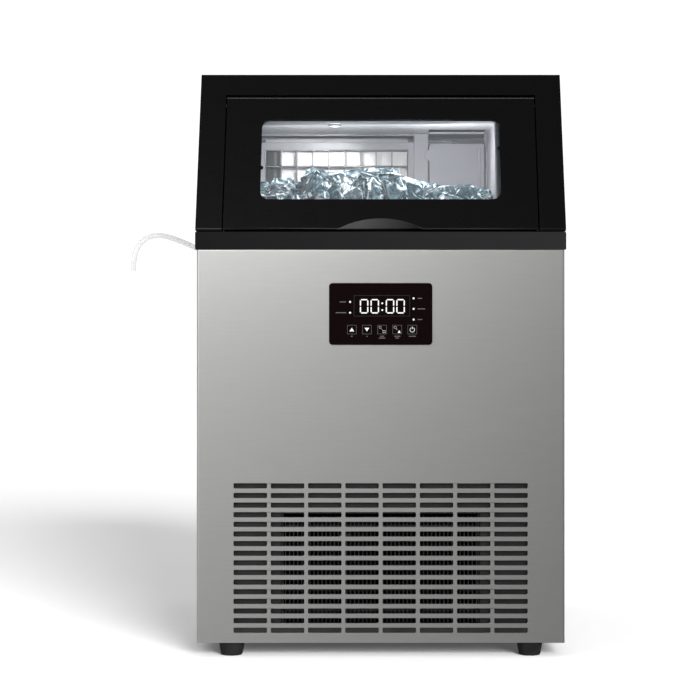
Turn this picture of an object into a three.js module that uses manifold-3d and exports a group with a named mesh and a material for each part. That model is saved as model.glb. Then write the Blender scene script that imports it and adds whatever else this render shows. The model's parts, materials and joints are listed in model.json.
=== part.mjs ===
// Undercounter cube ice maker: steel cabinet, black hood with a tilting viewing door, ice bin,
// grid evaporator with a circulating water tank, and a refrigeration deck behind the front grille.
// Millimetres, +Z up, front towards -Y, origin on the floor under the centre of the machine.
import * as THREE from "three";
import { mergeVertices } from "three/addons/utils/BufferGeometryUtils.js";
import Module from "manifold-3d";

const wasm = await Module();
wasm.setup();

// ---------------------------------------------------------------- driving dimensions
const WIDTH = 370; // steel cabinet
const HOOD_WIDTH = 373; // collar and hood, proud of the cabinet on each side
const HEIGHT = 592;
const FRONT = -200; // front face of the collar
const CABINET_FRONT = FRONT + 1.5;
const CABINET_BACK = 188;
const HOOD_BACK = 189.5;
const REAR = 200; // tips of the rear fittings
const CABINET_BOTTOM = 13.5;
const CABINET_TOP = 408.7;
const COLLAR_BOTTOM = 409;
const COLLAR_TOP = 427;
const HOOD_BOTTOM = 427.3;
const SLOPE_RUN = 84; // how far the hood front leans back over its height
const SHEET = 1; // sheet steel
const FOLD = 14.5; // depth of the front sheet's folded sides
const HOOD_WALL = 2.5;
const GAP = 0.3; // between pieces that touch
const PAST = 5; // how far a cutting tool runs past the surface it opens
const BEND_STEPS = 4; // cross sections round each bend of a pipe

const SLOPE = Math.atan(SLOPE_RUN / (HEIGHT - HOOD_BOTTOM));
const HALF = WIDTH / 2;
const HOOD_HALF = HOOD_WIDTH / 2;
const INNER_HALF = HALF - SHEET - GAP;

// door, in the plane of the sloping front: Z runs up the slope, Y runs inwards
const DOOR_HALF = 158.7;
const DOOR_BOTTOM = 2;
const DOOR_TOP = 157.9;
const DOOR_DEPTH = 12;
const DOORWAY_HALF = 160;
const DOORWAY_TOP = DOOR_TOP + 2.5;
const WINDOW_HALF = 122;
const WINDOW_BOTTOM = 36.8;
const WINDOW_TOP = 130.3;
const HINGE_INSET = 7; // hinge axis below the door's top edge and behind its face
const HINGE_PIN_R = 2.5;
const HINGE_Z = DOOR_TOP - HINGE_INSET;

const EAR = { x: 165, half: 3, reach: 6, depth: 13 }; // lugs of the hood that hold the pins

// slots in the front and in the back; topZ is the centre of the top row
const GRILLE = { columns: 8, rows: 16, width: 33.5, height: 5, pitchX: 37.45, pitchZ: 9.68, topZ: 171.4 };
const VENTS = { columns: 4, rows: 6, width: 44, height: 8, pitchX: 54, pitchZ: 20, topZ: 176 };

// feet
const FOOT = { x: 150.5, frontY: -185, rearY: 160, stud: 4, studTop: 26 };

// control panel
const PANEL_Z = 344.2;
const PANEL_WIDTH = 103.8;
const PANEL_HEIGHT = 62.2;
const PANEL_BOSS = { half: 46, rise: 26, depth: 13.3, wall: 2 };
const KEY_NAMES = ["key_up", "key_down", "key_timer", "key_clean", "key_power"];
const KEY_PITCH = 15.2;
const KEY_X = -13.8 - KEY_PITCH; // first key; the row is set off to the right of the panel's centre
const KEY_Z = -15.7;
const KEY_SIZE = 8.6;

// ice bin and its foam jacket
const BIN_HALF = 160;
const BIN_FRONT = -172;
const BIN_BACK = 155.5;
const BIN_FLOOR = 212.5;
const LINER_WALL = 2;
const FOAM_FRONT = -182;
const FOAM_BACK = 166;
const FOAM_BOTTOM = 195;
const DECK_SHEET = 1.2;
const BIN_OUTLET = { x: 120, y: 120 };

// evaporator and water circuit
const FRAME_Y = 70; // front face of the evaporator frame's plate
const CELL_X = 17.75;
const CELL_Z = 18;
const CELL_COLUMNS = 9;
const CELL_ROWS = 4;
const GRID_LEFT = -129.4;
const GRID_TOP = 523.7;
const GRID_DEPTH = 20;
const GRID_FRONT = FRAME_Y - 1;
const COIL_R = 3.8;
const COIL_Y = GRID_FRONT + GRID_DEPTH + COIL_R + GAP;
const TANK = { half: 157.2, front: 76, back: BIN_BACK - 2.3, bottom: 400, top: 448 };
const TANK_WALL = 2;
const TANK_FLOOR = TANK.bottom + TANK_WALL + GAP;
const PUMP = { x: 115, y: 118 };
const FLOAT = { x: -128, y: 122, stemR: 2, r: 9, height: 12, baseHeight: 3 };
const SPRAY = { y: 84, z: 532.5, r: 5.5 };
const LAMP = { x: -48, y: -101, r: 7, height: 3 };
const CHASE = { left: 30, right: 130, y: 177 }; // pipes run up behind the foam

// refrigeration deck
const TRAY_TOP = 16.2;
const TRAY_SHEET = 1.2;
const TRAY_RIM = 16.8; // height of the rim over the tray's floor
const ON_TRAY = TRAY_TOP + GAP;
const BAFFLE_Y = -193;
const FAN = { y: -149, z: 86, r: 49, hub: 14, shaft: 3, blades: 5 };
const CONDENSER = { half: 99, front: -188, back: -150, bottom: 33, top: 139 };
const COMPRESSOR = { x: 80, y: 95, r: 54, bottom: 26, top: 152 };

// water line at the rear left, and the drain at the rear right
const INLET = { x: -150, y: 194, z: 384.6, tilt: THREE.MathUtils.degToRad(25), arm: 23, r: 5.7 };
const HOSE_R = 3.175;
const DRAIN = { x: 150, z: 45, capLength: 10.4 };
const GLAND = { x: -140, z: 46, bore: 3.8 };

// ---------------------------------------------------------------- finishes
const finish = (color, roughness, metalness = 0) =>
  new THREE.MeshStandardMaterial({ color, roughness, metalness });
const STEEL = finish(0xa9a9a7, 0.35, 1);
const GALVANISED = finish(0x8d9092, 0.5, 1);
const DARK_PAINT = finish(0x2c2c2d, 0.6);
const BLACK_GLOSS = finish(0x101011, 0.18);
const BLACK_MATT = finish(0x1b1b1c, 0.6);
const BLACK_METAL = finish(0x141414, 0.4, 0.3);
const RUBBER = finish(0x161616, 0.85);
const WHITE_PLASTIC = finish(0xe4e3e8, 0.4);
const GREY_PLASTIC = finish(0xa4a3a9, 0.45);
const FOAM = finish(0xe6d9a8, 0.9);
const NICKEL = finish(0xd8d9da, 0.25, 1);
const COPPER = finish(0xb5683f, 0.35, 1);
const BOARD_GREEN = finish(0x1c5a34, 0.5);
const CLEAR = finish(0xdfe6ea, 0.05);

// ---------------------------------------------------------------- solids
function solidOf(geometry) {
  const bare = geometry.index ? geometry.toNonIndexed() : geometry.clone();
  bare.deleteAttribute("normal");
  bare.deleteAttribute("uv");
  const merged = mergeVertices(bare, 1e-4);
  const mesh = new wasm.Mesh({
    numProp: 3,
    vertProperties: merged.attributes.position.array,
    triVerts: new Uint32Array(merged.index.array),
  });
  return new wasm.Manifold(mesh);
}

function geometryOf(solid) {
  const { vertProperties, triVerts } = solid.getMesh();
  return new THREE.BufferGeometry()
    .setAttribute("position", new THREE.BufferAttribute(vertProperties, 3))
    .setIndex(new THREE.BufferAttribute(triVerts, 1));
}

const join = (...all) => geometryOf(all.map(solidOf).reduce((a, b) => a.add(b)));
const cut = (body, ...tools) => {
  const tool = tools.map(solidOf).reduce((a, b) => a.add(b));
  return geometryOf(solidOf(body).subtract(tool));
};

// A box between two values on each axis.
const block = ([x0, x1], [y0, y1], [z0, z1]) =>
  new THREE.BoxGeometry(x1 - x0, y1 - y0, z1 - z0).translate(
    (x0 + x1) / 2,
    (y0 + y1) / 2,
    (z0 + z1) / 2,
  );

// A round bar centred at the origin along "x", "y" or "z".
function bar(axis, radius, length, sides = 16) {
  const made = new THREE.CylinderGeometry(radius, radius, length, sides);
  if (axis === "x") made.rotateZ(Math.PI / 2);
  if (axis === "z") made.rotateX(Math.PI / 2);
  return made;
}

// A profile of [radius, height] pairs turned about +Z.
function turned(profile, sides = 16) {
  const points = profile.map(([r, h]) => new THREE.Vector2(r, h));
  return new THREE.LatheGeometry(points, sides).rotateX(Math.PI / 2);
}

// An outline of [y, z] pairs drawn out along X.
function alongX(outline, x0, x1) {
  const shape = new THREE.Shape(outline.map(([y, z]) => new THREE.Vector2(y, z)));
  const made = new THREE.ExtrudeGeometry(shape, { depth: x1 - x0, bevelEnabled: false });
  return made.rotateX(Math.PI / 2).rotateZ(Math.PI / 2).translate(x0, 0, 0);
}

// A plate facing Y with rounded corners, centred on x and z.
function roundedPlate(width, height, radius, y0, y1) {
  const [w, h] = [width / 2, height / 2];
  const shape = new THREE.Shape()
    .moveTo(-w + radius, -h)
    .lineTo(w - radius, -h)
    .absarc(w - radius, -h + radius, radius, -Math.PI / 2, 0)
    .absarc(w - radius, h - radius, radius, 0, Math.PI / 2)
    .absarc(-w + radius, h - radius, radius, Math.PI / 2, Math.PI)
    .absarc(-w + radius, -h + radius, radius, Math.PI, 1.5 * Math.PI);
  const options = { depth: y1 - y0, bevelEnabled: false, curveSegments: 4 };
  return new THREE.ExtrudeGeometry(shape, options).rotateX(Math.PI / 2).translate(0, y1, 0);
}

// A run of straight lines through the given points with each corner rounded off. Its cross
// sections stand only where a straight begins or ends, and at even steps round each bend.
class BentRoute extends THREE.Curve {
  constructor(points, bend) {
    super();
    const at = points.map((p) => new THREE.Vector3(...p));
    const towards = (a, b) => b.clone().sub(a).normalize();
    this.stations = [{ point: at[0], tangent: towards(at[0], at[1]) }];
    for (let i = 1; i < at.length - 1; i++) {
      const before = at[i].clone().addScaledVector(towards(at[i], at[i - 1]), bend);
      const after = at[i].clone().addScaledVector(towards(at[i], at[i + 1]), bend);
      const corner = new THREE.QuadraticBezierCurve3(before, at[i], after);
      for (let j = 0; j <= BEND_STEPS; j++) {
        const t = j / BEND_STEPS;
        this.stations.push({ point: corner.getPoint(t), tangent: corner.getTangent(t) });
      }
    }
    const [last, end] = at.slice(-2);
    this.stations.push({ point: end, tangent: towards(last, end) });
  }

  get steps() {
    return this.stations.length - 1;
  }

  getPointAt(u) {
    return this.stations[Math.round(u * this.steps)].point.clone();
  }

  getTangentAt(u) {
    return this.stations[Math.round(u * this.steps)].tangent.clone();
  }
}

function pipe(points, radius, bend, sides = 8) {
  const route = new BentRoute(points, bend);
  return extrudedAlong(route, radius, route.steps, sides);
}

function extrudedAlong(path, radius, steps, sides) {
  const ring = Array.from({ length: sides }, (_, i) => {
    const angle = (i / sides) * 2 * Math.PI;
    return new THREE.Vector2(radius * Math.cos(angle), radius * Math.sin(angle));
  });
  return new THREE.ExtrudeGeometry(new THREE.Shape(ring), { steps, extrudePath: path });
}

function piece(name, geometry, material, x = 0, y = 0, z = 0) {
  const mesh = new THREE.Mesh(geometry, material);
  mesh.name = name;
  mesh.position.set(x, y, z);
  return mesh;
}

function together(...children) {
  const made = new THREE.Group();
  made.add(...children);
  return made;
}

function placed(x, y, z, ...children) {
  const made = together(...children);
  made.position.set(x, y, z);
  return made;
}

// ---------------------------------------------------------------- cabinet
// Slot-shaped tools through a sheet that stands at y.
function slots({ columns, rows, width, height, pitchX, pitchZ, topZ }, y) {
  const made = [];
  for (let i = 0; i < columns; i++) {
    for (let j = 0; j < rows; j++) {
      const x = (i - (columns - 1) / 2) * pitchX;
      const slot = new THREE.BoxGeometry(width, 4 * SHEET, height);
      made.push(slot.translate(x, y, topZ - j * pitchZ));
    }
  }
  return made;
}

function frontPanel() {
  const pan = cut(
    block([-HALF, HALF], [CABINET_FRONT, CABINET_FRONT + FOLD], [CABINET_BOTTOM, CABINET_TOP]),
    block(
      [-HALF + SHEET, HALF - SHEET],
      [CABINET_FRONT + SHEET, CABINET_FRONT + FOLD + PAST],
      [CABINET_BOTTOM - PAST, CABINET_TOP + PAST],
    ),
  );
  const half = PANEL_BOSS.half + 0.5;
  const rise = PANEL_BOSS.rise + 0.5;
  const panelHole = block(
    [-half, half],
    [CABINET_FRONT - PAST, CABINET_FRONT + PAST],
    [PANEL_Z - rise, PANEL_Z + rise],
  );
  return piece("front_panel", cut(pan, ...slots(GRILLE, CABINET_FRONT), panelHole), STEEL);
}

function sidePanel(name, side) {
  const front = CABINET_FRONT + FOLD + GAP;
  const height = CABINET_TOP - CABINET_BOTTOM;
  const sheet = new THREE.BoxGeometry(SHEET, CABINET_BACK - front, height);
  const x = side * (HALF - SHEET / 2);
  return piece(name, sheet, STEEL, x, (front + CABINET_BACK) / 2, CABINET_BOTTOM + height / 2);
}

function backPanel() {
  const y = CABINET_BACK - SHEET;
  const sheet = block([-INNER_HALF, INNER_HALF], [y, CABINET_BACK], [CABINET_BOTTOM, CABINET_TOP]);
  const port = (radius, { x, z }) => bar("y", radius, 2 * PAST).translate(x, y, z);
  const ports = [port(6.6, INLET), port(7.6, DRAIN), port(7.6, GLAND)];
  return piece("back_panel", cut(sheet, ...slots(VENTS, y), ...ports), GALVANISED);
}

const FOOT_PLACES = {
  foot_front_left: [-FOOT.x, FOOT.frontY],
  foot_front_right: [FOOT.x, FOOT.frontY],
  foot_rear_left: [-FOOT.x, FOOT.rearY],
  foot_rear_right: [FOOT.x, FOOT.rearY],
};

// A tapered rubber foot with its stud.
function foot(name, x, y) {
  const padTop = CABINET_BOTTOM - GAP;
  const profile = [
    [0, 0],
    [10.2, 0],
    [11, 0.8],
    [13, padTop],
    [FOOT.stud, padTop],
    [FOOT.stud, FOOT.studTop],
    [0, FOOT.studTop],
  ];
  return piece(name, turned(profile, 20), RUBBER, x, y, 0);
}

function baseTray() {
  const [front, back] = [CABINET_FRONT + SHEET + GAP, CABINET_BACK - SHEET - GAP];
  const rim = TRAY_TOP + TRAY_RIM;
  const half = INNER_HALF - TRAY_SHEET;
  const pan = cut(
    block([-INNER_HALF, INNER_HALF], [front, back], [TRAY_TOP - TRAY_SHEET, rim]),
    block([-half, half], [front + TRAY_SHEET, back - TRAY_SHEET], [TRAY_TOP, rim + PAST]),
  );
  const studHoles = Object.values(FOOT_PLACES).map(([x, y]) =>
    bar("z", FOOT.stud + 0.6, 2 * PAST).translate(x, y, TRAY_TOP),
  );
  const notch = ({ x }) => block([x - 9, x + 9], [back - PAST, back + PAST], [rim - 3, rim + PAST]);
  const tray = cut(pan, ...studHoles, notch(DRAIN), notch(GLAND));
  return piece("base_tray", tray, DARK_PAINT);
}

function collar() {
  const through = [COLLAR_BOTTOM - PAST, COLLAR_TOP + PAST];
  const ring = cut(
    block([-HOOD_HALF, HOOD_HALF], [FRONT, HOOD_BACK], [COLLAR_BOTTOM, COLLAR_TOP]),
    block([-BIN_HALF - 0.5, BIN_HALF + 0.5], [BIN_FRONT - 0.5, BIN_BACK + 0.5], through),
    block([CHASE.left, CHASE.right], [CHASE.y - 9, CHASE.y + 8], through),
  );
  return piece("top_collar", ring, BLACK_MATT);
}

function deckPlate() {
  const sheet = block(
    [-INNER_HALF, INNER_HALF],
    [FOAM_FRONT, FOAM_BACK],
    [FOAM_BOTTOM - GAP - DECK_SHEET, FOAM_BOTTOM - GAP],
  );
  const drainHole = bar("z", 8, 2 * PAST).translate(BIN_OUTLET.x, BIN_OUTLET.y, FOAM_BOTTOM);
  return piece("deck_plate", cut(sheet, drainHole), GALVANISED);
}

function insulation() {
  const jacket = cut(
    block([-INNER_HALF, INNER_HALF], [FOAM_FRONT, FOAM_BACK], [FOAM_BOTTOM, CABINET_TOP - GAP]),
    block(
      [-BIN_HALF - GAP, BIN_HALF + GAP],
      [BIN_FRONT - GAP, BIN_BACK + GAP],
      [BIN_FLOOR - GAP, CABINET_TOP + PAST],
    ),
    bar("z", 8, 60).translate(BIN_OUTLET.x, BIN_OUTLET.y, BIN_FLOOR),
  );
  return piece("bin_insulation", jacket, FOAM);
}

function binLiner() {
  const tub = cut(
    block([-BIN_HALF, BIN_HALF], [BIN_FRONT, BIN_BACK], [BIN_FLOOR, COLLAR_TOP]),
    block(
      [-BIN_HALF + LINER_WALL, BIN_HALF - LINER_WALL],
      [BIN_FRONT + LINER_WALL, BIN_BACK - LINER_WALL],
      [BIN_FLOOR + LINER_WALL, COLLAR_TOP + PAST],
    ),
    bar("z", 6.4, 60).translate(BIN_OUTLET.x, BIN_OUTLET.y, BIN_FLOOR),
  );
  return piece("bin_liner", tub, WHITE_PLASTIC);
}

// ---------------------------------------------------------------- hood
// The hood's side outline moved inwards by a wall, without its floor.
function hoodOutline(wall, bottom) {
  const lean = (z) => FRONT + wall / Math.cos(SLOPE) + (z - HOOD_BOTTOM) * Math.tan(SLOPE);
  return [
    [lean(bottom), bottom],
    [lean(HEIGHT - wall), HEIGHT - wall],
    [HOOD_BACK - wall, HEIGHT - wall],
    [HOOD_BACK - wall, bottom],
  ];
}

// A solid made in the plane of the sloping front, brought into the machine's frame.
const onSlope = (geometry) => geometry.rotateX(-SLOPE).translate(0, FRONT, HOOD_BOTTOM);

function hoodShell() {
  const doorway = onSlope(
    block([-DOORWAY_HALF, DOORWAY_HALF], [-30, 30], [-30, DOORWAY_TOP]),
  );
  const ear = (side) => {
    const { x, half, reach, depth } = EAR;
    const lug = block([-half, half], [HOOD_WALL - 0.2, depth], [HINGE_Z - reach, HINGE_Z + reach]);
    const hole = bar("x", HINGE_PIN_R + 0.5, 20, 20).translate(0, HINGE_INSET, HINGE_Z);
    return onSlope(cut(lug, hole).translate(side * x, 0, 0));
  };
  const shell = cut(
    alongX(hoodOutline(0, HOOD_BOTTOM), -HOOD_HALF, HOOD_HALF),
    alongX(hoodOutline(HOOD_WALL, HOOD_BOTTOM - 5), -HOOD_HALF + HOOD_WALL, HOOD_HALF - HOOD_WALL),
    doorway,
  );
  return piece("hood_shell", join(shell, ear(-1), ear(1)), BLACK_GLOSS);
}

const CEILING_Z = 542; // underside
const LINER_SETBACK = 17.5; // behind the door's face, clear of its gasket
const SEAL = { half: 144.5, bottom: 11, top: 146, width: 7 }; // where the gasket meets the liner
const COVER_BAY = { left: 53, right: 116, front: -2 }; // open in the ceiling, over the pump cover
const CHASE_WINDOW = [452, 525]; // lowest and highest edge of the pipes' way through the liner

function hoodLiner() {
  const half = BIN_HALF - 0.5;
  const outline = (inset) => {
    const run = (LINER_SETBACK + inset) / Math.cos(SLOPE);
    const lean = (z) => FRONT + run + (z - HOOD_BOTTOM) * Math.tan(SLOPE);
    const [bottom, top] = [HOOD_BOTTOM + GAP - PAST * inset, CEILING_Z + LINER_WALL - inset];
    return [
      [lean(bottom), bottom],
      [lean(top), top],
      [BIN_BACK - inset, top],
      [BIN_BACK - inset, bottom],
    ];
  };
  const inner = half - LINER_WALL;
  const [face, opening] = [LINER_SETBACK, SEAL.half - 0.5];
  const header = block([-half, half], [face, face + LINER_WALL], [SEAL.top - 26, SEAL.top + 2]);
  const mouth = block(
    [-opening, opening],
    [face - PAST, face + LINER_WALL + SEAL.width],
    [SEAL.bottom + SEAL.width, SEAL.top - SEAL.width],
  );
  const box = join(alongX(outline(0), -half, half), onSlope(header));
  const shell = cut(
    box,
    alongX(outline(LINER_WALL), -inner, inner),
    onSlope(mouth),
    block(
      [COVER_BAY.left, COVER_BAY.right],
      [COVER_BAY.front, FRAME_Y - 3],
      [CEILING_Z - 1, CEILING_Z + PAST],
    ),
    block([CHASE.left, CHASE.right], [BIN_BACK - PAST, BIN_BACK + PAST], CHASE_WINDOW),
  );
  return piece("hood_liner", shell, WHITE_PLASTIC);
}

// ---------------------------------------------------------------- door
function doorFrame() {
  const chamfer = 2;
  const outline = [
    [0, DOOR_BOTTOM],
    [0, DOOR_TOP - chamfer],
    [chamfer, DOOR_TOP],
    [DOOR_DEPTH, DOOR_TOP],
    [DOOR_DEPTH, DOOR_BOTTOM + DOOR_DEPTH * Math.tan(SLOPE)],
  ];
  const slab = alongX(outline, -DOOR_HALF, DOOR_HALF);
  const [w, h, corner, lap] = [2 * WINDOW_HALF, WINDOW_TOP - WINDOW_BOTTOM, 9, 16];
  const middle = (WINDOW_TOP + WINDOW_BOTTOM) / 2;
  const behind = DOOR_DEPTH + PAST;
  const opening = roundedPlate(w, h, corner, -PAST, behind).translate(0, 0, middle);
  const rebate = roundedPlate(w + lap, h + lap, corner, 3, behind).translate(0, 0, middle);
  const sockets = [-1, 1].map((side) =>
    bar("x", HINGE_PIN_R + GAP, 24, 20).translate(side * DOOR_HALF, HINGE_INSET, HINGE_Z),
  );
  return piece("door_frame", cut(slab, opening, rebate, fingerPull(), ...sockets), BLACK_GLOSS);
}

// A shallow cone cut into the lower edge of the door's face.
function fingerPull() {
  const [rise, halfChord, depth, proud] = [12.6, 44.5, 8, 1];
  const radius = (halfChord ** 2 + rise ** 2) / (2 * rise);
  const flare = rise / depth;
  const outer = radius + proud * flare;
  return new THREE.CylinderGeometry(radius - rise, outer, depth + proud, 128).translate(
    0,
    (depth - proud) / 2,
    DOOR_BOTTOM + rise - radius,
  );
}

function door() {
  const middle = (WINDOW_TOP + WINDOW_BOTTOM) / 2;
  const [w, h] = [2 * WINDOW_HALF + 15.4, WINDOW_TOP - WINDOW_BOTTOM + 15.4];
  const pane = roundedPlate(w, h, 8.7, 3.3, 6.3);
  const { half, bottom, top, width } = SEAL;
  const gasket = cut(
    block([-half - width, half + width], [DOOR_DEPTH + GAP, LINER_SETBACK - 0.6], [bottom, top]),
    block([-half, half], [DOOR_DEPTH - PAST, LINER_SETBACK + PAST], [bottom + width, top - width]),
  );
  const pin = (name, side) => {
    const length = 17.5;
    const x = side * (EAR.x + EAR.half - length / 2);
    return piece(name, bar("x", HINGE_PIN_R, length, 20), BLACK_METAL, x, HINGE_INSET, HINGE_Z);
  };
  const made = placed(
    0,
    FRONT,
    HOOD_BOTTOM,
    doorFrame(),
    piece("door_pane", pane, CLEAR, 0, 0, middle),
    piece("door_gasket", gasket, RUBBER),
    pin("hinge_pin_left", -1),
    pin("hinge_pin_right", 1),
  );
  made.rotation.x = -SLOPE;
  return made;
}

// ---------------------------------------------------------------- control panel
const DISPLAY = { x: 1.4, z: 8.2, width: 54, height: 19 };

const PANEL_FACE_Y = -1.4; // against the steel's front face
const BOARD_Y = 11.5;
const keyAt = (i) => KEY_X + i * KEY_PITCH;
// A square block round the centre of a key.
const keyBlock = (i, half, depths) =>
  block([keyAt(i) - half, keyAt(i) + half], depths, [KEY_Z - half, KEY_Z + half]);

function controlHousing() {
  const { half, rise, depth, wall } = PANEL_BOSS;
  const face = roundedPlate(PANEL_WIDTH, PANEL_HEIGHT, 3.6, PANEL_FACE_Y, -0.1);
  const boss = block([-half, half], [-0.2, depth], [-rise, rise]);
  const inside = [-rise + wall, rise - wall];
  const hollow = block([-half + wall, half - wall], [1.5, depth + PAST], inside);
  const keyHoles = KEY_NAMES.map((_, i) => keyBlock(i, KEY_SIZE / 2 + GAP, [-PAST, PAST]));
  return piece("control_panel", cut(join(face, boss), hollow, ...keyHoles), BLACK_GLOSS);
}

function keys() {
  const [half, lip] = [KEY_SIZE / 2, KEY_SIZE / 2 + 1];
  const cap = join(
    block([-half, half], [PANEL_FACE_Y, 2.5], [-half, half]),
    block([-lip, lip], [1.9, 3], [-lip, lip]),
    bar("y", 1.6, 6, 12).translate(0, 5.5, 0),
  );
  return KEY_NAMES.map((name, i) => piece(name, cap, BLACK_GLOSS, keyAt(i), 0, KEY_Z));
}

function controlBoard() {
  const half = PANEL_BOSS.half - PANEL_BOSS.wall - GAP;
  const rise = PANEL_BOSS.rise - PANEL_BOSS.wall - GAP;
  const switches = KEY_NAMES.map((_, i) => keyBlock(i, 3, [9.1, BOARD_Y + 0.5]));
  const { x, z, width, height } = DISPLAY;
  const digits = block(
    [x - width / 2, x + width / 2],
    [2, BOARD_Y + 0.5],
    [z - height / 2, z + height / 2],
  );
  const board = block([-half, half], [BOARD_Y, BOARD_Y + 1.5], [-rise, rise]);
  return piece("control_board", join(board, digits, ...switches), BOARD_GREEN);
}

function controls() {
  return placed(0, CABINET_FRONT, PANEL_Z, controlHousing(), controlBoard(), ...keys());
}

// ---------------------------------------------------------------- ice making
function evaporatorFrame() {
  const [left, right] = [GRID_LEFT - GAP, GRID_LEFT + CELL_COLUMNS * CELL_X + GAP];
  const [bottom, top] = [GRID_TOP - CELL_ROWS * CELL_Z - GAP, GRID_TOP + GAP];
  const [half, foot, head] = [BIN_HALF - 2.8, 442, CEILING_Z - GAP];
  const raised = (x0, x1, proud, high) => block([x0, x1], [FRAME_Y - proud, FRAME_Y + 1], [foot, high]);
  const plate = block([-half, half], [FRAME_Y, FRAME_Y + 3], [foot, head]);
  const surround = raised(left - 11, right + 7, 4, SPRAY.z - 0.5);
  const column = raised(right + 7, 53, 8, head);
  const pillar = raised(117.5, half, 10, head);
  const through = [FRAME_Y - 20, FRAME_Y + 20];
  const gridHole = block([left, right], through, [bottom, top]);
  const sprayGap = block([left - 11, right + 6.35], through, [SPRAY.z, SPRAY.z + 7.5]);
  const pumpHole = block([54, 116.5], through, [452, head + PAST]);
  const made = cut(join(plate, surround, column, pillar), gridHole, sprayGap, pumpHole);
  return piece("evaporator_frame", made, WHITE_PLASTIC);
}

function evaporatorGrid() {
  const [w, h] = [CELL_COLUMNS * CELL_X, CELL_ROWS * CELL_Z];
  const [fin, backPlate] = [1.2, 2];
  const cells = [];
  for (let i = 0; i < CELL_COLUMNS; i++) {
    for (let j = 0; j < CELL_ROWS; j++) {
      const x = (i - (CELL_COLUMNS - 1) / 2) * CELL_X;
      const z = (j - (CELL_ROWS - 1) / 2) * CELL_Z;
      const cell = new THREE.BoxGeometry(CELL_X - fin, GRID_DEPTH, CELL_Z - fin);
      cells.push(cell.translate(x, -backPlate, z));
    }
  }
  const slab = new THREE.BoxGeometry(w, GRID_DEPTH, h);
  const [x, y, z] = [GRID_LEFT + w / 2, GRID_FRONT + GRID_DEPTH / 2, GRID_TOP - h / 2];
  return piece("evaporator_grid", cut(slab, ...cells), NICKEL, x, y, z);
}

// The coil runs behind the middle of each row of cells, from the top one down.
const COIL_END = 46;
const COIL_TOP = 515;
const COIL_BOTTOM = COIL_TOP - (CELL_ROWS - 1) * CELL_Z;

function evaporatorCoil() {
  const rows = Array.from({ length: CELL_ROWS }, (_, i) => COIL_TOP - i * CELL_Z);
  const [left, right] = [GRID_LEFT + 12, GRID_LEFT + CELL_COLUMNS * CELL_X - 12];
  const points = [[COIL_END, COIL_Y, rows[0]]];
  rows.slice(0, -1).forEach((z, i) => {
    const away = i % 2 ? right : left;
    points.push([away, COIL_Y, z], [away, COIL_Y, rows[i + 1]]);
  });
  points.push([COIL_END, COIL_Y, COIL_BOTTOM]);
  return piece("evaporator_coil", pipe(points, COIL_R, 8.5), COPPER);
}

function waterTank() {
  const { half, front, back, bottom, top } = TANK;
  const tub = cut(
    block([-half, half], [front, back], [bottom, top]),
    block(
      [-half + TANK_WALL, half - TANK_WALL],
      [front + TANK_WALL, back - TANK_WALL],
      [bottom + TANK_WALL, top + PAST],
    ),
  );
  return piece("water_tank", tub, WHITE_PLASTIC);
}

function floatGauge() {
  const { stemR, r, height, baseHeight } = FLOAT;
  const [baseR, capR, capLow, capHigh] = [7, 5, 34, 36];
  const stem = turned([
    [0, 0],
    [baseR, 0],
    [baseR, baseHeight],
    [stemR, baseHeight],
    [stemR, capLow],
    [capR, capLow],
    [capR, capHigh],
    [0, capHigh],
  ]);
  const bore = stemR + 0.6;
  const float = turned(
    [
      [bore, 0],
      [r, 0],
      [r, height],
      [bore, height],
      [bore, 0],
    ],
    20,
  );
  return placed(
    FLOAT.x,
    FLOAT.y,
    TANK_FLOOR,
    piece("float_stem", stem, GREY_PLASTIC),
    piece("level_float", float, WHITE_PLASTIC, 0, 0, baseHeight + GAP),
  );
}

const PUMP_OUTLET = 8; // height of the outlet over the pump's foot

function pump() {
  const shell = turned(
    [
      [0, 0],
      [17, 0],
      [17, 16],
      [14, 18],
      [14, 44],
      [9, 48],
      [0, 48],
    ],
    20,
  );
  const chamber = bar("z", 12.5, 9, 20).translate(0, 0, 7.5);
  const shaftBore = bar("z", 2.2, 20, 12).translate(0, 0, 18);
  const intake = bar("z", 6, 6).translate(0, 0, 1);
  const outlet = bar("x", 3, 30, 12).translate(-14, 0, PUMP_OUTLET);
  const intakeSlot = block([-20, 20], [-2, 2], [-1, 2.5]);
  const volute = cut(shell, chamber, shaftBore, intake, outlet, intakeSlot);
  const vanes = [0, 1, 2, 3].map((i) =>
    block([1, 11], [-0.8, 0.8], [1, 6]).rotateZ((i * Math.PI) / 2),
  );
  const wheel = join(
    bar("z", 11.4, 1.4, 20).translate(0, 0, 0.7),
    bar("z", 3, 6, 12).translate(0, 0, 3),
    bar("z", 1.6, 12, 12).translate(0, 0, 10),
    ...vanes,
  );
  return placed(
    PUMP.x,
    PUMP.y,
    TANK_FLOOR,
    piece("water_pump", volute, BLACK_MATT),
    piece("pump_impeller", wheel, WHITE_PLASTIC, 0, 0, 3.8),
  );
}

// The pump's hose climbs behind the frame to the spray bar over the grid.
function waterFeed() {
  const right = GRID_LEFT + CELL_COLUMNS * CELL_X;
  const outlet = TANK_FLOOR + PUMP_OUTLET;
  const riserX = PUMP.x - 31;
  const riser = pipe(
    [
      [PUMP.x - 17.3, PUMP.y, outlet],
      [riserX, PUMP.y, outlet],
      [riserX, PUMP.y, 490],
      [riserX, SPRAY.y, SPRAY.z],
      [right + GAP, SPRAY.y, SPRAY.z],
    ],
    3.6,
    9,
  );
  const length = CELL_COLUMNS * CELL_X;
  const sprayBar = bar("x", SPRAY.r, length).translate(right - length / 2, SPRAY.y, SPRAY.z);
  return [
    piece("pump_hose", riser, CLEAR),
    piece("water_distributor", sprayBar, WHITE_PLASTIC),
  ];
}

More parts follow.
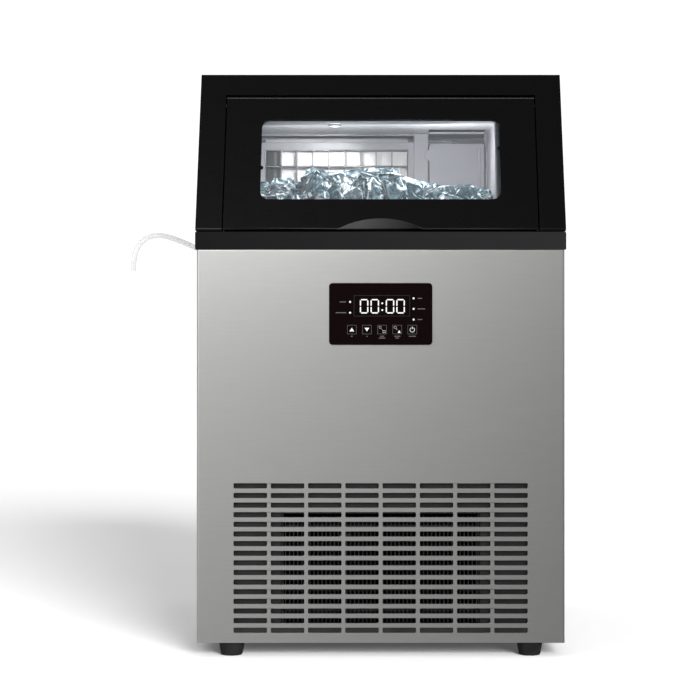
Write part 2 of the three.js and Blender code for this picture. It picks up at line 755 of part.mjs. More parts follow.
// A sloping chute that sends the cubes forward, past the tank's front.
function iceSlide() {
  const half = TANK.half;
  const outline = [
    [FRAME_Y - 12, 439],
    [12, 398],
    [12, 395.5],
    [FRAME_Y - 10, 436.5],
  ];
  return piece("ice_slide", alongX(outline, -half, half), WHITE_PLASTIC);
}

// A plate with a half-round tab on its left edge and a raised rib near its right one.
function pumpCover() {
  const [width, height, thickness, tabR] = [61.5, 78, 2.4, 6];
  const plate = roundedPlate(width, height, 3, -thickness / 2, thickness / 2);
  const tab = bar("y", tabR, thickness, 20).translate(0.25 - width / 2, 0, height / 3);
  const rib = block([24, 26.5], [-2, 0], [3 - height / 2, height / 2 - 5]);
  return piece("pump_cover", join(plate, tab, rib), GREY_PLASTIC, 85.2, FRAME_Y - 9.6, 491.5);
}

function iceMaking() {
  const lampZ = CEILING_Z - GAP - LAMP.height / 2;
  const lamp = bar("z", LAMP.r, LAMP.height, 20);
  return together(
    evaporatorFrame(),
    evaporatorGrid(),
    evaporatorCoil(),
    waterTank(),
    floatGauge(),
    pump(),
    ...waterFeed(),
    iceSlide(),
    pumpCover(),
    piece("bin_lamp", lamp, WHITE_PLASTIC, LAMP.x, LAMP.y, lampZ),
  );
}

// ---------------------------------------------------------------- refrigeration
function condenser() {
  const { half, front, back, bottom, top } = CONDENSER;
  const [finPitch, fin, plate] = [13, 2, 1.5];
  const middle = (front + back) / 2;
  const fins = [];
  for (let x = -half + 8; x < half - 4; x += finPitch) {
    fins.push(block([x, x + fin], [front, back], [bottom, top]));
  }
  const core = block([-half, half], [middle - 3, middle + 3], [bottom, top]);
  const endPlate = (x) => block([x, x + plate], [front - 0.5, back + 0.5], [ON_TRAY, top + 3]);
  const ends = [endPlate(-half - 0.5), endPlate(half + 0.5 - plate)];
  return piece("condenser", join(core, ...fins, ...ends), BLACK_METAL);
}

function airBaffle() {
  const top = FOAM_BOTTOM - DECK_SHEET - 2 * GAP;
  const [half, opening] = [INNER_HALF - 1.7, CONDENSER.half + 1];
  const sheet = cut(
    block([-half, half], [BAFFLE_Y, BAFFLE_Y + SHEET], [ON_TRAY, top]),
    block(
      [-opening, opening],
      [BAFFLE_Y - PAST, BAFFLE_Y + PAST],
      [CONDENSER.bottom - 2, CONDENSER.top + 4],
    ),
  );
  return piece("air_baffle", sheet, DARK_PAINT);
}

// The fan's parts are made round its axis, and stand on the tray.
const FAN_FLOOR = ON_TRAY - FAN.z;

function fanShroud() {
  const plateY = 3; // behind the condenser's end plates
  const ringY = plateY + 9;
  const plate = block([-104, 104], [plateY - 1.2, plateY], [FAN_FLOOR, 60]);
  const ring = bar("y", FAN.r + 5, 20, 32).translate(0, ringY, 0);
  const bore = bar("y", FAN.r + 3, 60, 32).translate(0, ringY, 0);
  return piece("fan_shroud", cut(join(plate, ring), bore), BLACK_MATT);
}

function fanBlades() {
  const [root, chord, thickness, twist] = [FAN.hub - 3, 26, 1.6, THREE.MathUtils.degToRad(30)];
  const length = FAN.r - 2 - root;
  const blades = Array.from({ length: FAN.blades }, (_, i) =>
    new THREE.BoxGeometry(chord, thickness, length)
      .rotateZ(twist)
      .translate(0, 0, root + length / 2)
      .rotateY((i * 2 * Math.PI) / FAN.blades),
  );
  const shaft = bar("y", FAN.shaft, 32, 12).translate(0, 16, 0);
  const rotor = join(bar("y", FAN.hub, 18, 24), shaft, ...blades);
  return piece("fan_blades", rotor, BLACK_MATT, 0, 14, 0);
}

function fanMotor() {
  const can = turned(
    [
      [0, 0],
      [14, 0],
      [16, 3],
      [27, 6],
      [27, 38],
      [20, 42],
      [0, 42],
    ],
    24,
  ).rotateX(-Math.PI / 2);
  const half = 31;
  const leg = block([-half, half], [20, 22], [FAN_FLOOR, half]);
  const heel = block([-half, half], [20, 34], [FAN_FLOOR, FAN_FLOOR + 1.6]);
  const bore = bar("y", FAN.shaft + 0.8, 36, 24);
  return piece("fan_motor", cut(join(can, leg, heel), bore), BLACK_METAL, 0, 31, 0);
}

function fanUnit() {
  return placed(0, FAN.y, FAN.z, fanShroud(), fanBlades(), fanMotor());
}

function compressor() {
  const { x, y, r, bottom, top } = COMPRESSOR;
  const shell = turned(
    [
      [0, 0],
      [r - 14, 0],
      [r - 3, 8],
      [r, 20],
      [r, 62],
      [r + 2, 64],
      [r + 2, 69],
      [r, 71],
      [r - 2, 96],
      [r - 12, 114],
      [r - 30, 123],
      [0, top - bottom],
    ],
    20,
  );
  const footHeight = bottom - ON_TRAY;
  const base = block([-62, 62], [-50, 50], [-3, 1]);
  const feet = [-1, 1].flatMap((i) =>
    [-1, 1].map((j) => bar("z", 8, footHeight, 12).translate(i * 52, j * 40, -footHeight / 2)),
  );
  const relay = block([-r - 16, -r + 6], [-20, 20], [34, 60]);
  return piece("compressor", join(shell, base, relay, ...feet), BLACK_METAL, x, y, bottom);
}

const PIPE_X = 160; // the pipes' run along the right side
const PIPE_R = 3;
const PIPE_BEND = 11;
const CONDENSER_PORT = [CONDENSER.half + 1.2, -169]; // x and y
const DRIER = { z: 44, back: 0.4, length: 70 };

function dischargePipe() {
  const { x, y, r } = COMPRESSOR;
  const [portX, portY] = CONDENSER_PORT;
  const z = 126;
  const points = [
    [x + r - 2.4, y, z],
    [PIPE_X - 2, y, z],
    [PIPE_X, -150, z],
    [PIPE_X, portY, z],
    [portX, portY, z],
  ];
  return piece("discharge_pipe", pipe(points, PIPE_R, PIPE_BEND), COPPER);
}

// From the condenser through the drier.
function filterDrier() {
  const [portX, portY] = CONDENSER_PORT;
  const { z, length } = DRIER;
  const front = -length;
  const points = [
    [portX, portY, z],
    [PIPE_X, portY, z],
    [PIPE_X, front + 1, z],
  ];
  const can = turned([
    [0, 0],
    [3.5, 0],
    [9, 9],
    [9, length - 9],
    [3.5, length],
    [0, length],
  ]);
  can.rotateX(-Math.PI / 2).translate(PIPE_X, front, z);
  return piece("filter_drier", join(pipe(points, PIPE_R, PIPE_BEND), can), COPPER);
}

// From the drier up behind the foam to the coil's upper end.
function capillaryTube() {
  const [chaseX, sideX] = [112, 170];
  const points = [
    [PIPE_X, DRIER.back, DRIER.z],
    [PIPE_X, 30, DRIER.z],
    [sideX, 60, 80],
    [sideX, CHASE.y, 120],
    [chaseX, CHASE.y, 170],
    [chaseX, CHASE.y, COIL_TOP],
    [chaseX, 150, COIL_TOP],
    [66, COIL_Y, COIL_TOP],
    [COIL_END + 0.6, COIL_Y, COIL_TOP],
  ];
  return piece("capillary_tube", pipe(points, 1.6, 9, 6), COPPER);
}

// From the coil's lower end down behind the foam to the compressor.
function suctionPipe() {
  const { x, y, r } = COMPRESSOR;
  const chaseX = 62;
  const points = [
    [COIL_END + 0.6, COIL_Y, COIL_BOTTOM],
    [chaseX, COIL_Y, COIL_BOTTOM],
    [chaseX, CHASE.y, COIL_BOTTOM],
    [chaseX, CHASE.y, 128],
    [x - 6, y + r + 6, 112],
    [x - 6, y + r - 0.9, 112],
  ];
  return piece("suction_pipe", pipe(points, 4, 7), COPPER);
}

function hotGasValve() {
  const body = block([-11, 11], [-8, 8], [-14, 10]);
  const stem = bar("z", 4, 40, 12);
  const ports = bar("x", 4.5, 30, 12).translate(0, 0, -7);
  const bypass = pipe([[0, 0, 18], [0, 0, 34], [-32, 60, 34], [-32, 60, 13]], 2.5, 8);
  return piece("hot_gas_valve", join(body, stem, ports, bypass), COPPER, 124, 20, 138);
}

// An open box with its board, a transformer and a relay.
function controlBox() {
  const [w, d, h, wall] = [52, 130, 110, 2];
  const hollow = block([wall, w + PAST], [wall, d - wall], [wall, h - wall]);
  const tub = cut(block([0, w], [0, d], [0, h]), hollow);
  const board = block([1, 3.6], [8, d - 8], [8, h - 8]);
  const transformer = block([3, 26], [20, 55], [60, 92]);
  const relay = block([3, 20], [70, 88], [24, 42]);
  return piece("control_box", join(tub, board, transformer, relay), GREY_PLASTIC, -176, 10, ON_TRAY);
}

// ---------------------------------------------------------------- water connections
function inletFitting() {
  const arm = bar("x", INLET.r, INLET.arm).translate(-INLET.arm / 2, 0, 0).rotateY(INLET.tilt);
  const elbow = join(
    arm,
    bar("y", INLET.r, 11).translate(0, 0.2, 0),
    bar("y", 8.5, 2).translate(0, -4.7, 0), // flange on the back panel
    bar("y", 5.6, 10).translate(0, -10, 0), // through the panel
  );
  const valve = join(
    block([-14, 14], [-26, -15.4], [-12, 12]),
    bar("z", 8, 46).translate(0, -18.5, -32),
  );
  return placed(
    INLET.x,
    INLET.y,
    INLET.z,
    piece("inlet_elbow", elbow, GREY_PLASTIC),
    piece("inlet_valve", valve, BLACK_MATT),
  );
}

// The water line springs out of the elbow, arches over under its own stiffness and hangs down.
const HOSE_ROUTE = [
  [-171.2, 394.5],
  [-178, 397.7],
  [-187, 401.9],
  [-196, 406.1],
  [-205, 410.3],
  [-214, 414.5],
  [-223, 418.5],
  [-232, 422.3],
  [-241, 425.9],
  [-250, 428.8],
  [-259, 430.4],
  [-267.5, 430.1],
  [-275.5, 427.2],
  [-282.3, 421.8],
  [-287.2, 414.3],
  [-289.8, 405.8],
  [-290.7, 397],
  [-290.9, 388.5],
];

function waterLine() {
  const points = HOSE_ROUTE.map(([x, z]) => new THREE.Vector3(x, INLET.y, z));
  const curve = new THREE.CatmullRomCurve3(points);
  return piece("water_line", extrudedAlong(curve, HOSE_R, 28, 10), CLEAR);
}

function drain() {
  const spout = turned([
    [0, 0],
    [7.2, 0],
    [7.2, 8.3],
    [12, 8.3],
    [12, 9.3],
    [6, 9.3],
    [6, 17],
    [0, 17],
  ]).rotateX(-Math.PI / 2);
  const cap = cut(
    bar("y", 8.5, DRAIN.capLength, 20),
    bar("y", 6.4, DRAIN.capLength, 20).translate(0, -2, 0),
  );
  const spoutY = CABINET_BACK - 8;
  const hoseY = 160;
  const hose = pipe(
    [
      [BIN_OUTLET.x, BIN_OUTLET.y, BIN_FLOOR - 2.5],
      [BIN_OUTLET.x, BIN_OUTLET.y, 172],
      [DRAIN.x, hoseY, 168],
      [DRAIN.x, hoseY, DRAIN.z],
      [DRAIN.x, spoutY - 0.4, DRAIN.z],
    ],
    5.5,
    12,
  );
  return together(
    piece("drain_spout", spout, BLACK_MATT, DRAIN.x, spoutY, DRAIN.z),
    piece("drain_cap", cap, RUBBER, DRAIN.x, REAR - DRAIN.capLength / 2, DRAIN.z),
    piece("drain_hose", hose, CLEAR),
  );
}

function powerGland() {
  const bush = turned([
    [GLAND.bore, 0],
    [7.2, 0],
    [7.2, 8],
    [10, 8],
    [10, 11],
    [6, 19],
    [GLAND.bore, 19],
    [GLAND.bore, 0],
  ]).rotateX(-Math.PI / 2);
  return piece("power_gland", bush, RUBBER, GLAND.x, CABINET_BACK - 7.7, GLAND.z);
}

// ---------------------------------------------------------------- the machine
const cabinet = together(
  frontPanel(),
  sidePanel("side_panel_left", -1),
  sidePanel("side_panel_right", 1),
  backPanel(),
  baseTray(),
  deckPlate(),
  insulation(),
  binLiner(),
  collar(),
  hoodShell(),
  hoodLiner(),
  ...Object.entries(FOOT_PLACES).map(([name, [x, y]]) => foot(name, x, y)),
);

const machine = new THREE.Group();
machine.add(cabinet, door(), controls(), iceMaking());
machine.add(condenser(), airBaffle(), fanUnit(), compressor(), controlBox());
machine.add(dischargePipe(), filterDrier(), capillaryTube(), suctionPipe(), hotGasValve());
machine.add(inletFitting(), waterLine(), drain(), powerGland());

export default machine;
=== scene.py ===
import json
import math
import random
from itertools import product

import bmesh
import bpy
from mathutils import Euler, Matrix, Vector


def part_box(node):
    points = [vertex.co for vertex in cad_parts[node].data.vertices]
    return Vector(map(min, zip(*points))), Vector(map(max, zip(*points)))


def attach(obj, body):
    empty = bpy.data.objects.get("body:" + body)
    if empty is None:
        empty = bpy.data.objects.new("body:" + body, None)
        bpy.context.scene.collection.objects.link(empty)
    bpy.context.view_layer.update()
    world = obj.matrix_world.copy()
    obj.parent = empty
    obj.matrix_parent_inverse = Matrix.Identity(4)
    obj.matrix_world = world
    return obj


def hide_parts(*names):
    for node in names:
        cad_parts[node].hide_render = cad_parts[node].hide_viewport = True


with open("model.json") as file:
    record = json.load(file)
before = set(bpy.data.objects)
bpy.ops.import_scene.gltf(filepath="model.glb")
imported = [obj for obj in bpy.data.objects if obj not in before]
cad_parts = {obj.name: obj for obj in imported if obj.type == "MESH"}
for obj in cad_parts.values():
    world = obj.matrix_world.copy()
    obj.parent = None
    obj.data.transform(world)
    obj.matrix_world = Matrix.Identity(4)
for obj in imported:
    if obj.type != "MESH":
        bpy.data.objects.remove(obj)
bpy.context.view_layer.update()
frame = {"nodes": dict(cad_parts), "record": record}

# ------------------------------------------------------------------ places taken from the frame
NODES = frame["nodes"]
BODY_OF = {
    node: body
    for body, members in frame["record"]["behaviour"]["bodies"].items()
    for node in members
}
SLOT_OF = {part["node"]: part["material_slot"] for part in frame["record"]["subparts"]}
MM = 0.001

PANEL_LO, PANEL_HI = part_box("front_panel")
HOOD_LO, HOOD_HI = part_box("hood_shell")
FACE_LO, FACE_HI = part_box("control_panel")
DOOR_LO, DOOR_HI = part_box("door_frame")
SLOPE_RUN = 84 * MM  # how far the hood's front leans back over its height
SLOPE = math.atan(SLOPE_RUN / (HOOD_HI.z - HOOD_LO.z))
# The side guard and the ice lumps' middles lie at least this times cos(SLOPE) behind the front, along Y.
CLEAR_OF_DOOR = 34 * MM


def on_slope(x, inward, up):
    """A point given by x, how far it is square behind the sloping front, and how far up along it."""
    y = HOOD_LO.y + inward * math.cos(SLOPE) + up * math.sin(SLOPE)
    z = HOOD_LO.z - inward * math.sin(SLOPE) + up * math.cos(SLOPE)
    return Vector((x, y, z))


def behind_doorway(z):
    """How far forward something inside the hood may reach at a height."""
    return on_slope(0, CLEAR_OF_DOOR, (z - HOOD_LO.z) / math.cos(SLOPE)).y


def linked(name, data):
    """A new object in the scene."""
    made = bpy.data.objects.new(name, data)
    bpy.context.scene.collection.objects.link(made)
    return made


# ------------------------------------------------------------------ camera
def make_camera():
    camera = linked("camera", bpy.data.cameras.new("camera"))
    camera.data.lens = 117.75
    camera.data.sensor_width = 36
    camera.data.shift_x = -0.0438
    camera.data.shift_y = -0.1024
    camera.location = (0, -2.5, 0.38)
    camera.rotation_euler = (math.pi / 2, 0, 0)
    bpy.context.scene.camera = camera


# ------------------------------------------------------------------ materials
def set_inputs(node, values):
    for name, value in values.items():
        node.inputs[name.replace("_", " ")].default_value = value


def add_node(material, kind, links=(), operation=None, **values):
    """A new shader node with its inputs set; links pairs an input with another node's output."""
    made = material.node_tree.nodes.new("ShaderNode" + kind)
    if operation:
        made.operation = operation
    set_inputs(made, values)
    for name, output in links:
        material.node_tree.links.new(output, made.inputs[name])
    return made


def shader_of(material):
    return material.node_tree.nodes["Principled BSDF"]


MATERIALS = {}


def plain(name, color, roughness, metallic=0.0, specular=0.5, **values):
    """A new material of one colour, kept in MATERIALS under its name; values sets other inputs."""
    material = bpy.data.materials.new(name)
    MATERIALS[name] = material
    material.use_nodes = True
    common = {"Base_Color": (*color, 1), "Roughness": roughness, "Metallic": metallic}
    set_inputs(shader_of(material), {**common, "Specular_IOR_Level": specular, **values})
    return material


def surface_place(material, stretch=(1, 1, 1)):
    """Coordinates in the machine's frame, in metres, squeezed by stretch."""
    place = add_node(material, "TexCoord").outputs["Object"]
    return add_node(material, "Mapping", [("Vector", place)], Scale=stretch).outputs["Vector"]


def texture(material, kind, stretch=(1, 1, 1), **values):
    return add_node(material, kind, [("Vector", surface_place(material, stretch))], **values).outputs


def noise(material, scale, detail=3.0, stretch=(1, 1, 1), distortion=0.0):
    settings = {"Scale": scale, "Detail": detail, "Distortion": distortion}
    return texture(material, "TexNoise", stretch, **settings)["Fac"]


def remap(material, value, start, end, low=0.0, high=1.0, links=()):
    """A value's stretch between start and end brought between low and high."""
    limits = {"From_Min": start, "From_Max": end, "To_Min": low, "To_Max": high}
    return add_node(material, "MapRange", [("Value", value), *links], **limits).outputs["Result"]


def vary_roughness(material, value, low, high):
    target = shader_of(material).inputs["Roughness"]
    material.node_tree.links.new(remap(material, value, 0.3, 0.7, low, high), target)


def vary_color(material, value, *stops):
    """Colours the base by a ramp over the value; stops are (position, colour)."""
    ramp = add_node(material, "ValToRGB", [("Fac", value)])
    elements = ramp.color_ramp.elements
    while len(elements) < len(stops):
        elements.new(0.5)
    for element, (position, color) in zip(elements, stops):
        element.position = position
        element.color = (*color, 1)
    material.node_tree.links.new(ramp.outputs["Color"], shader_of(material).inputs["Base Color"])


def bump(material, height, depth, strength=0.3):
    """Raises the surface by a texture; depth in metres."""
    made = add_node(material, "Bump", [("Height", height)], Strength=strength, Distance=depth)
    material.node_tree.links.new(made.outputs["Normal"], shader_of(material).inputs["Normal"])


def mixed(color, share):
    """A colour moved a share of the way to white, or to black where the share is negative."""
    target = 1 if share > 0 else 0
    return tuple(c + (target - c) * abs(share) for c in color)


def moulded_plastic(name, color, roughness, specular=0.5, grain=0.4 * MM, relief=0.01 * MM):
    """Injection-moulded plastic: a fine even grain, and slow changes in gloss."""
    material = plain(name, color, roughness, specular=specular)
    vary_roughness(material, noise(material, 90), roughness * 0.97, min(1, roughness * 1.03))
    vary_color(material, noise(material, 300, 2), (0.3, mixed(color, -0.04)), (0.7, color))
    bump(material, noise(material, 1 / grain, 2), relief)
    return material


def painted_shading_across(name, start, start_color, end, end_color, roughness, specular=0.3):
    """Plastic with painted shading: its tone changes across the machine, between two places along X."""
    material = plain(name, start_color, roughness, specular=specular)
    share = remap(material, texture(material, "SeparateXYZ")["X"], start, end)
    vary_color(material, share, (0, start_color), (1, end_color))
    vary_roughness(material, noise(material, 90), roughness * 0.95, roughness * 1.05)
    bump(material, noise(material, 2500, 2), 0.02 * MM)
    return material


def stainless():
    color = (0.60, 0.598, 0.59)
    material = plain("stainless", color, 0.36, 1.0)
    lines = noise(material, 1500, 3, stretch=(0.02, 1, 1))
    vary_roughness(material, lines, 0.35, 0.37)
    vary_color(material, lines, (0.3, mixed(color, -0.03)), (0.7, mixed(color, 0.03)))
    bump(material, lines, 0.002 * MM, 0.05)
    return material


def galvanised():
    """Zinc-coated sheet, with its crystal pattern."""
    color = (0.42, 0.43, 0.44)
    material = plain("galvanised", color, 0.5, 1.0)
    crystals = texture(material, "TexVoronoi", Scale=110.0)["Color"]
    vary_color(material, crystals, (0.1, mixed(color, -0.06)), (0.9, mixed(color, 0.06)))
    vary_roughness(material, crystals, 0.42, 0.58)
    bump(material, noise(material, 900), 0.006 * MM)
    return material


def enamel(name, color, roughness):
    """Sprayed and baked paint, with slight orange peel."""
    material = plain(name, color, roughness, Coat_Weight=0.15)
    vary_roughness(material, noise(material, 30), roughness * 0.85, roughness * 1.2)
    vary_color(material, noise(material, 60), (0.3, color), (0.7, mixed(color, 0.005)))
    bump(material, noise(material, 420, 1), 0.05 * MM, 0.25)
    return material


def rubber():
    color = (0.007, 0.007, 0.0075)
    material = plain("rubber", color, 0.6, specular=0.25)
    dust = noise(material, 70, 5)
    vary_color(material, dust, (0.35, color), (0.75, (0.013, 0.013, 0.013)))
    vary_roughness(material, dust, 0.52, 0.75)
    bump(material, noise(material, 1600, 2), 0.05 * MM)
    return material


def plated(name, color, roughness):
    """Bright metal with faint handling marks."""
    material = plain(name, color, roughness, 1.0)
    marks = noise(material, 120, 5)
    vary_roughness(material, marks, roughness * 0.7, roughness * 1.5)
    vary_color(material, noise(material, 25), (0.3, mixed(color, -0.05)), (0.7, color))
    bump(material, marks, 0.01 * MM)
    return material


def bright_nickel():
    """Satin nickel plate of the ice cells, pale and nearly matt under the lamp."""
    color = (0.93, 0.93, 0.93)
    material = plain("bright_nickel", color, 0.45, 0.25)
    water_marks = noise(material, 160, 5)
    vary_roughness(material, water_marks, 0.4, 0.55)
    vary_color(material, water_marks, (0.3, mixed(color, -0.05)), (0.6, color))
    bump(material, water_marks, 0.02 * MM)
    return material


def copper():
    color = (0.72, 0.36, 0.24)
    material = plain("copper", color, 0.32, 1.0)
    stain = noise(material, 55, 5)
    vary_color(material, stain, (0.35, (0.42, 0.20, 0.13)), (0.62, color))
    vary_roughness(material, stain, 0.28, 0.5)
    bump(material, noise(material, 600), 0.01 * MM)
    return material


def foam():
    color = (0.80, 0.72, 0.46)
    material = plain("foam", color, 0.9, specular=0.1)
    cells = texture(material, "TexVoronoi", Scale=800.0)["Distance"]
    vary_color(material, cells, (0.2, mixed(color, -0.15)), (0.8, color))
    bump(material, cells, 0.4 * MM, 0.5)
    return material


def circuit_board():
    color = (0.02, 0.14, 0.06)
    material = plain("circuit_board", color, 0.35)
    tracks = texture(material, "TexBrick", Scale=160.0)["Fac"]
    vary_color(material, tracks, (0.2, color), (0.8, (0.04, 0.22, 0.10)))
    bump(material, tracks, 0.03 * MM)
    return material


def clear_plastic(name, color, alpha, roughness=0.2):
    material = plain(name, color, roughness, Alpha=alpha)
    vary_roughness(material, noise(material, 200), roughness * 0.8, roughness * 1.4)
    return material


def window_glass():
    material = plain("window", (0.5, 0.55, 0.6), 0.03, Alpha=0.04)
    vary_roughness(material, noise(material, 60), 0.02, 0.05)
    return material


def glowing(name, color, strength):
    light = {"Emission_Color": (*color, 1), "Emission_Strength": strength}
    material = plain(name, mixed(color, -0.95), 0.4, specular=0.1, **light)
    vary_roughness(material, noise(material, 900), 0.3, 0.5)
    return material


def printed_with_glow(name, color):
    """Screen-printed ink on the control face, which glows faintly in its own colour: painted light, as
    the ink is no lamp.
    """
    material = plain(name, color, 0.45, Emission_Color=(*color, 1), Emission_Strength=0.15)
    ink = noise(material, 4000, 2)
    vary_color(material, ink, (0.3, mixed(color, -0.12)), (0.7, color))
    return material


def ice(name, *stops):
    """Clear ice, its refractions drawn as a marbling that runs between the stops."""
    material = plain(name, (0.5, 0.6, 0.65), 0.1, IOR=1.31)
    vary_color(material, noise(material, 80, 3.5, distortion=2.2), *stops)
    bump(material, noise(material, 220, 2), 0.6 * MM)
    return material


# Tones of the ice's painted refractions: slate and teal for painted depth, pale and white for painted
# glints.
ICE_SLATE = (0.012, 0.024, 0.032)
ICE_TEAL = (0.036, 0.066, 0.082)
ICE_GREY = (0.11, 0.16, 0.185)
ICE_PALE = (0.27, 0.34, 0.37)
ICE_WHITE = (0.9, 0.96, 0.98)

stainless()
galvanised()
moulded_plastic("hood_black", (0.0018, 0.0018, 0.0019), 0.28, 0.2)
# The collar's painted shading: darker at the left end, lighter at the right.
painted_shading_across("collar_black", -0.184, (0.0036,) * 3, 0.184, (0.0118,) * 3, 0.5, 0.06)
moulded_plastic("panel_black", (0.0032, 0.0016, 0.0016), 0.22, 0.01)
moulded_plastic("machine_black", (0.012, 0.012, 0.013), 0.6, 0.3)
enamel("black_enamel", (0.008, 0.008, 0.008), 0.35)
enamel("dark_paint", (0.004, 0.004, 0.0042), 0.5)
rubber()
moulded_plastic("white_plastic", (0.60, 0.60, 0.635), 0.35)
# A darker copy of the white plastic, for the evaporator frame and side guard: painted shade.
moulded_plastic("frame_white_shaded", (0.36, 0.36, 0.385), 0.35)
moulded_plastic("grey_plastic", (0.36, 0.36, 0.39), 0.45)
# Painted shade for the grid's first column: near black at the left, pale to the right.
painted_shading_across("shade_grey", -0.122, (0.07,) * 3, -0.106, (0.7,) * 3, 0.5)
foam()
copper()
circuit_board()
bright_nickel()
# The finger recess painted lighter than the door as a painted reflection, and shaded darker to the
# right.
painted_shading_across("grip_painted_light", -0.02, (0.034,) * 3, 0.036, (0.001,) * 3, 0.5, 0.15)
# Lighter, glossier black for the rounded edges of hood and door: a painted highlight.
moulded_plastic("edge_highlight_black", (0.012, 0.012, 0.0125), 0.35, 0.5)
# Near-black, nearly matt rubber, darker than the feet: painted shade for the gap under the door.
moulded_plastic("gasket_shade_black", (0.002, 0.002, 0.002), 0.7, 0.05)
enamel("fin_black", (0.022, 0.022, 0.022), 0.5)
# Darker rims and undersides of the ice grid: painted shade.
plated("strip_edge_shaded", (0.45, 0.45, 0.46), 0.5)
moulded_plastic("shelf_shade", (0.05, 0.05, 0.055), 0.5)
clear_plastic("clear_plastic", (0.9, 0.93, 0.95), 0.35)
window_glass()
clear_plastic("tube", (0.97, 0.97, 0.97), 0.5, 0.3)
glowing("lamp", (0.93, 0.95, 1.0), 6.0)
glowing("digit", (1.0, 1.0, 1.0), 1.0)
printed_with_glow("ink", (0.22, 0.22, 0.22))
printed_with_glow("dim_ink", (0.06, 0.056, 0.056))
printed_with_glow("faint_ink", (0.013, 0.011, 0.011))
plated("zinc", (0.55, 0.56, 0.57), 0.35)
# The ice in three looks: plain, with painted depth, and with painted glints.
ice(
    "ice", (0.36, ICE_SLATE), (0.44, ICE_TEAL), (0.53, ICE_GREY), (0.6, ICE_PALE), (0.66, ICE_WHITE)
)
ice("ice_depth", (0.4, ICE_SLATE), (0.55, ICE_TEAL), (0.68, ICE_PALE))
ice("ice_glint", (0.36, ICE_GREY), (0.46, ICE_PALE), (0.55, ICE_WHITE))


# ------------------------------------------------------------------ mesh helpers
def finished(name, bm, body, look, stands_for=(), angle=30):
    """Turns a bmesh in the machine's frame into a named piece that rides on a body."""
    bmesh.ops.recalc_face_normals(bm, faces=bm.faces)
    mesh = bpy.data.meshes.new(name)
    bm.to_mesh(mesh)
    bm.free()
    mesh.shade_smooth()
    mesh.set_sharp_from_angle(angle=math.radians(angle))
    mesh.materials.append(MATERIALS[look])
    made = linked(name, mesh)
    even = made.modifiers.new("even_faces", "WEIGHTED_NORMAL")
    even.keep_sharp = True
    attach(made, body)
    if stands_for:
        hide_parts(*stands_for)
    return made


def sharp_edges(bm, angle):
    return [e for e in bm.edges if len(e.link_faces) == 2 and e.calc_face_angle(0) > angle]


def round_edges(bm, edges, width, segments=1, clamp=False):
    settings = {"segments": segments, "profile": 0.5, "affect": "EDGES", "clamp_overlap": clamp}
    return bmesh.ops.bevel(bm, geom=edges, offset=width, **settings)


def refined(node, width, look=None, reshape=None, lowest=0.0):
    """A CAD solid again, its triangles merged into flat faces and its edges above lowest rounded."""
    bm = bmesh.new()
    bm.from_mesh(NODES[node].data)
    bmesh.ops.remove_doubles(bm, verts=bm.verts, dist=0.002 * MM)
    bmesh.ops.dissolve_limit(bm, angle_limit=math.radians(0.5), verts=bm.verts, edges=bm.edges)
    if reshape:
        reshape(bm)
    sharp = sharp_edges(bm, math.radians(28))
    round_edges(bm, [e for e in sharp if min(v.co.z for v in e.verts) >= lowest], width, 2, True)
    slot = SLOT_OF[node]
    return finished(node + "_shape", bm, BODY_OF[node], look or slot, [node])


def add_box(bm, lo, hi, rounding=0.0):
    """A box between two corners, with its edges rounded."""
    lo, hi = Vector(lo), Vector(hi)
    size = Matrix.Diagonal((*(hi - lo), 1))
    made = bmesh.ops.create_cube(bm, size=1, matrix=size)["verts"]
    if rounding:
        edges = list({e for v in made for e in v.link_edges})
        made = round_edges(bm, edges, rounding, 2)["verts"]
    bmesh.ops.transform(bm, matrix=Matrix.Translation((lo + hi) / 2), verts=made)


def add_lathe(bm, profile, matrix, sides=40):
    """A profile of (radius, height) pairs turned about +Z, then placed by a matrix."""
    rings = []
    for radius, height in profile:
        if radius == 0:
            rings.append([bm.verts.new(matrix @ Vector((0, 0, height)))])
            continue
        ring = []
        for i in range(sides):
            a = 2 * math.pi * i / sides
            at = Vector((radius * math.cos(a), radius * math.sin(a), height))
            ring.append(bm.verts.new(matrix @ at))
        rings.append(ring)
    for low, high in zip(rings, rings[1:]):
        for i in range(sides):
            j = (i + 1) % sides
            corners = [low[i % len(low)], low[j % len(low)], high[j % len(high)], high[i % len(high)]]
            unique = list(dict.fromkeys(corners))
            if len(unique) > 2:
                bm.faces.new(unique)


def add_prism(bm, outline, thickness, matrix):
    """A flat outline of (x, y) pairs given a thickness along +Z, then placed by a matrix."""
    low = [bm.verts.new(matrix @ Vector((x, y, 0))) for x, y in outline]
    high = [bm.verts.new(matrix @ Vector((x, y, thickness))) for x, y in outline]
    bm.faces.new(low[::-1])
    bm.faces.new(high)
    for i in range(len(outline)):
        j = (i + 1) % len(outline)
        bm.faces.new((low[i], low[j], high[j], high[i]))


def arc(cx, cy, radius, start, end, steps):
    """Points on an arc, its angles in degrees."""
    angles = [math.radians(start + (end - start) * i / steps) for i in range(steps + 1)]
    return [(cx + radius * math.cos(a), cy + radius * math.sin(a)) for a in angles]


def rounded_rectangle(cx, cy, width, height, radius, steps=5):
    w, h = width / 2 - radius, height / 2 - radius
    corners = [(w, -h, -90), (w, h, 0), (-w, h, 90), (-w, -h, 180)]
    return [p for x, y, a in corners for p in arc(cx + x, cy + y, radius, a, a + 90, steps)]


def facing_front(y):
    """Turns a flat drawing of x and height into one that stands facing the front."""
    return Matrix.Translation((0, y, 0)) @ Matrix.Rotation(math.pi / 2, 4, "X")


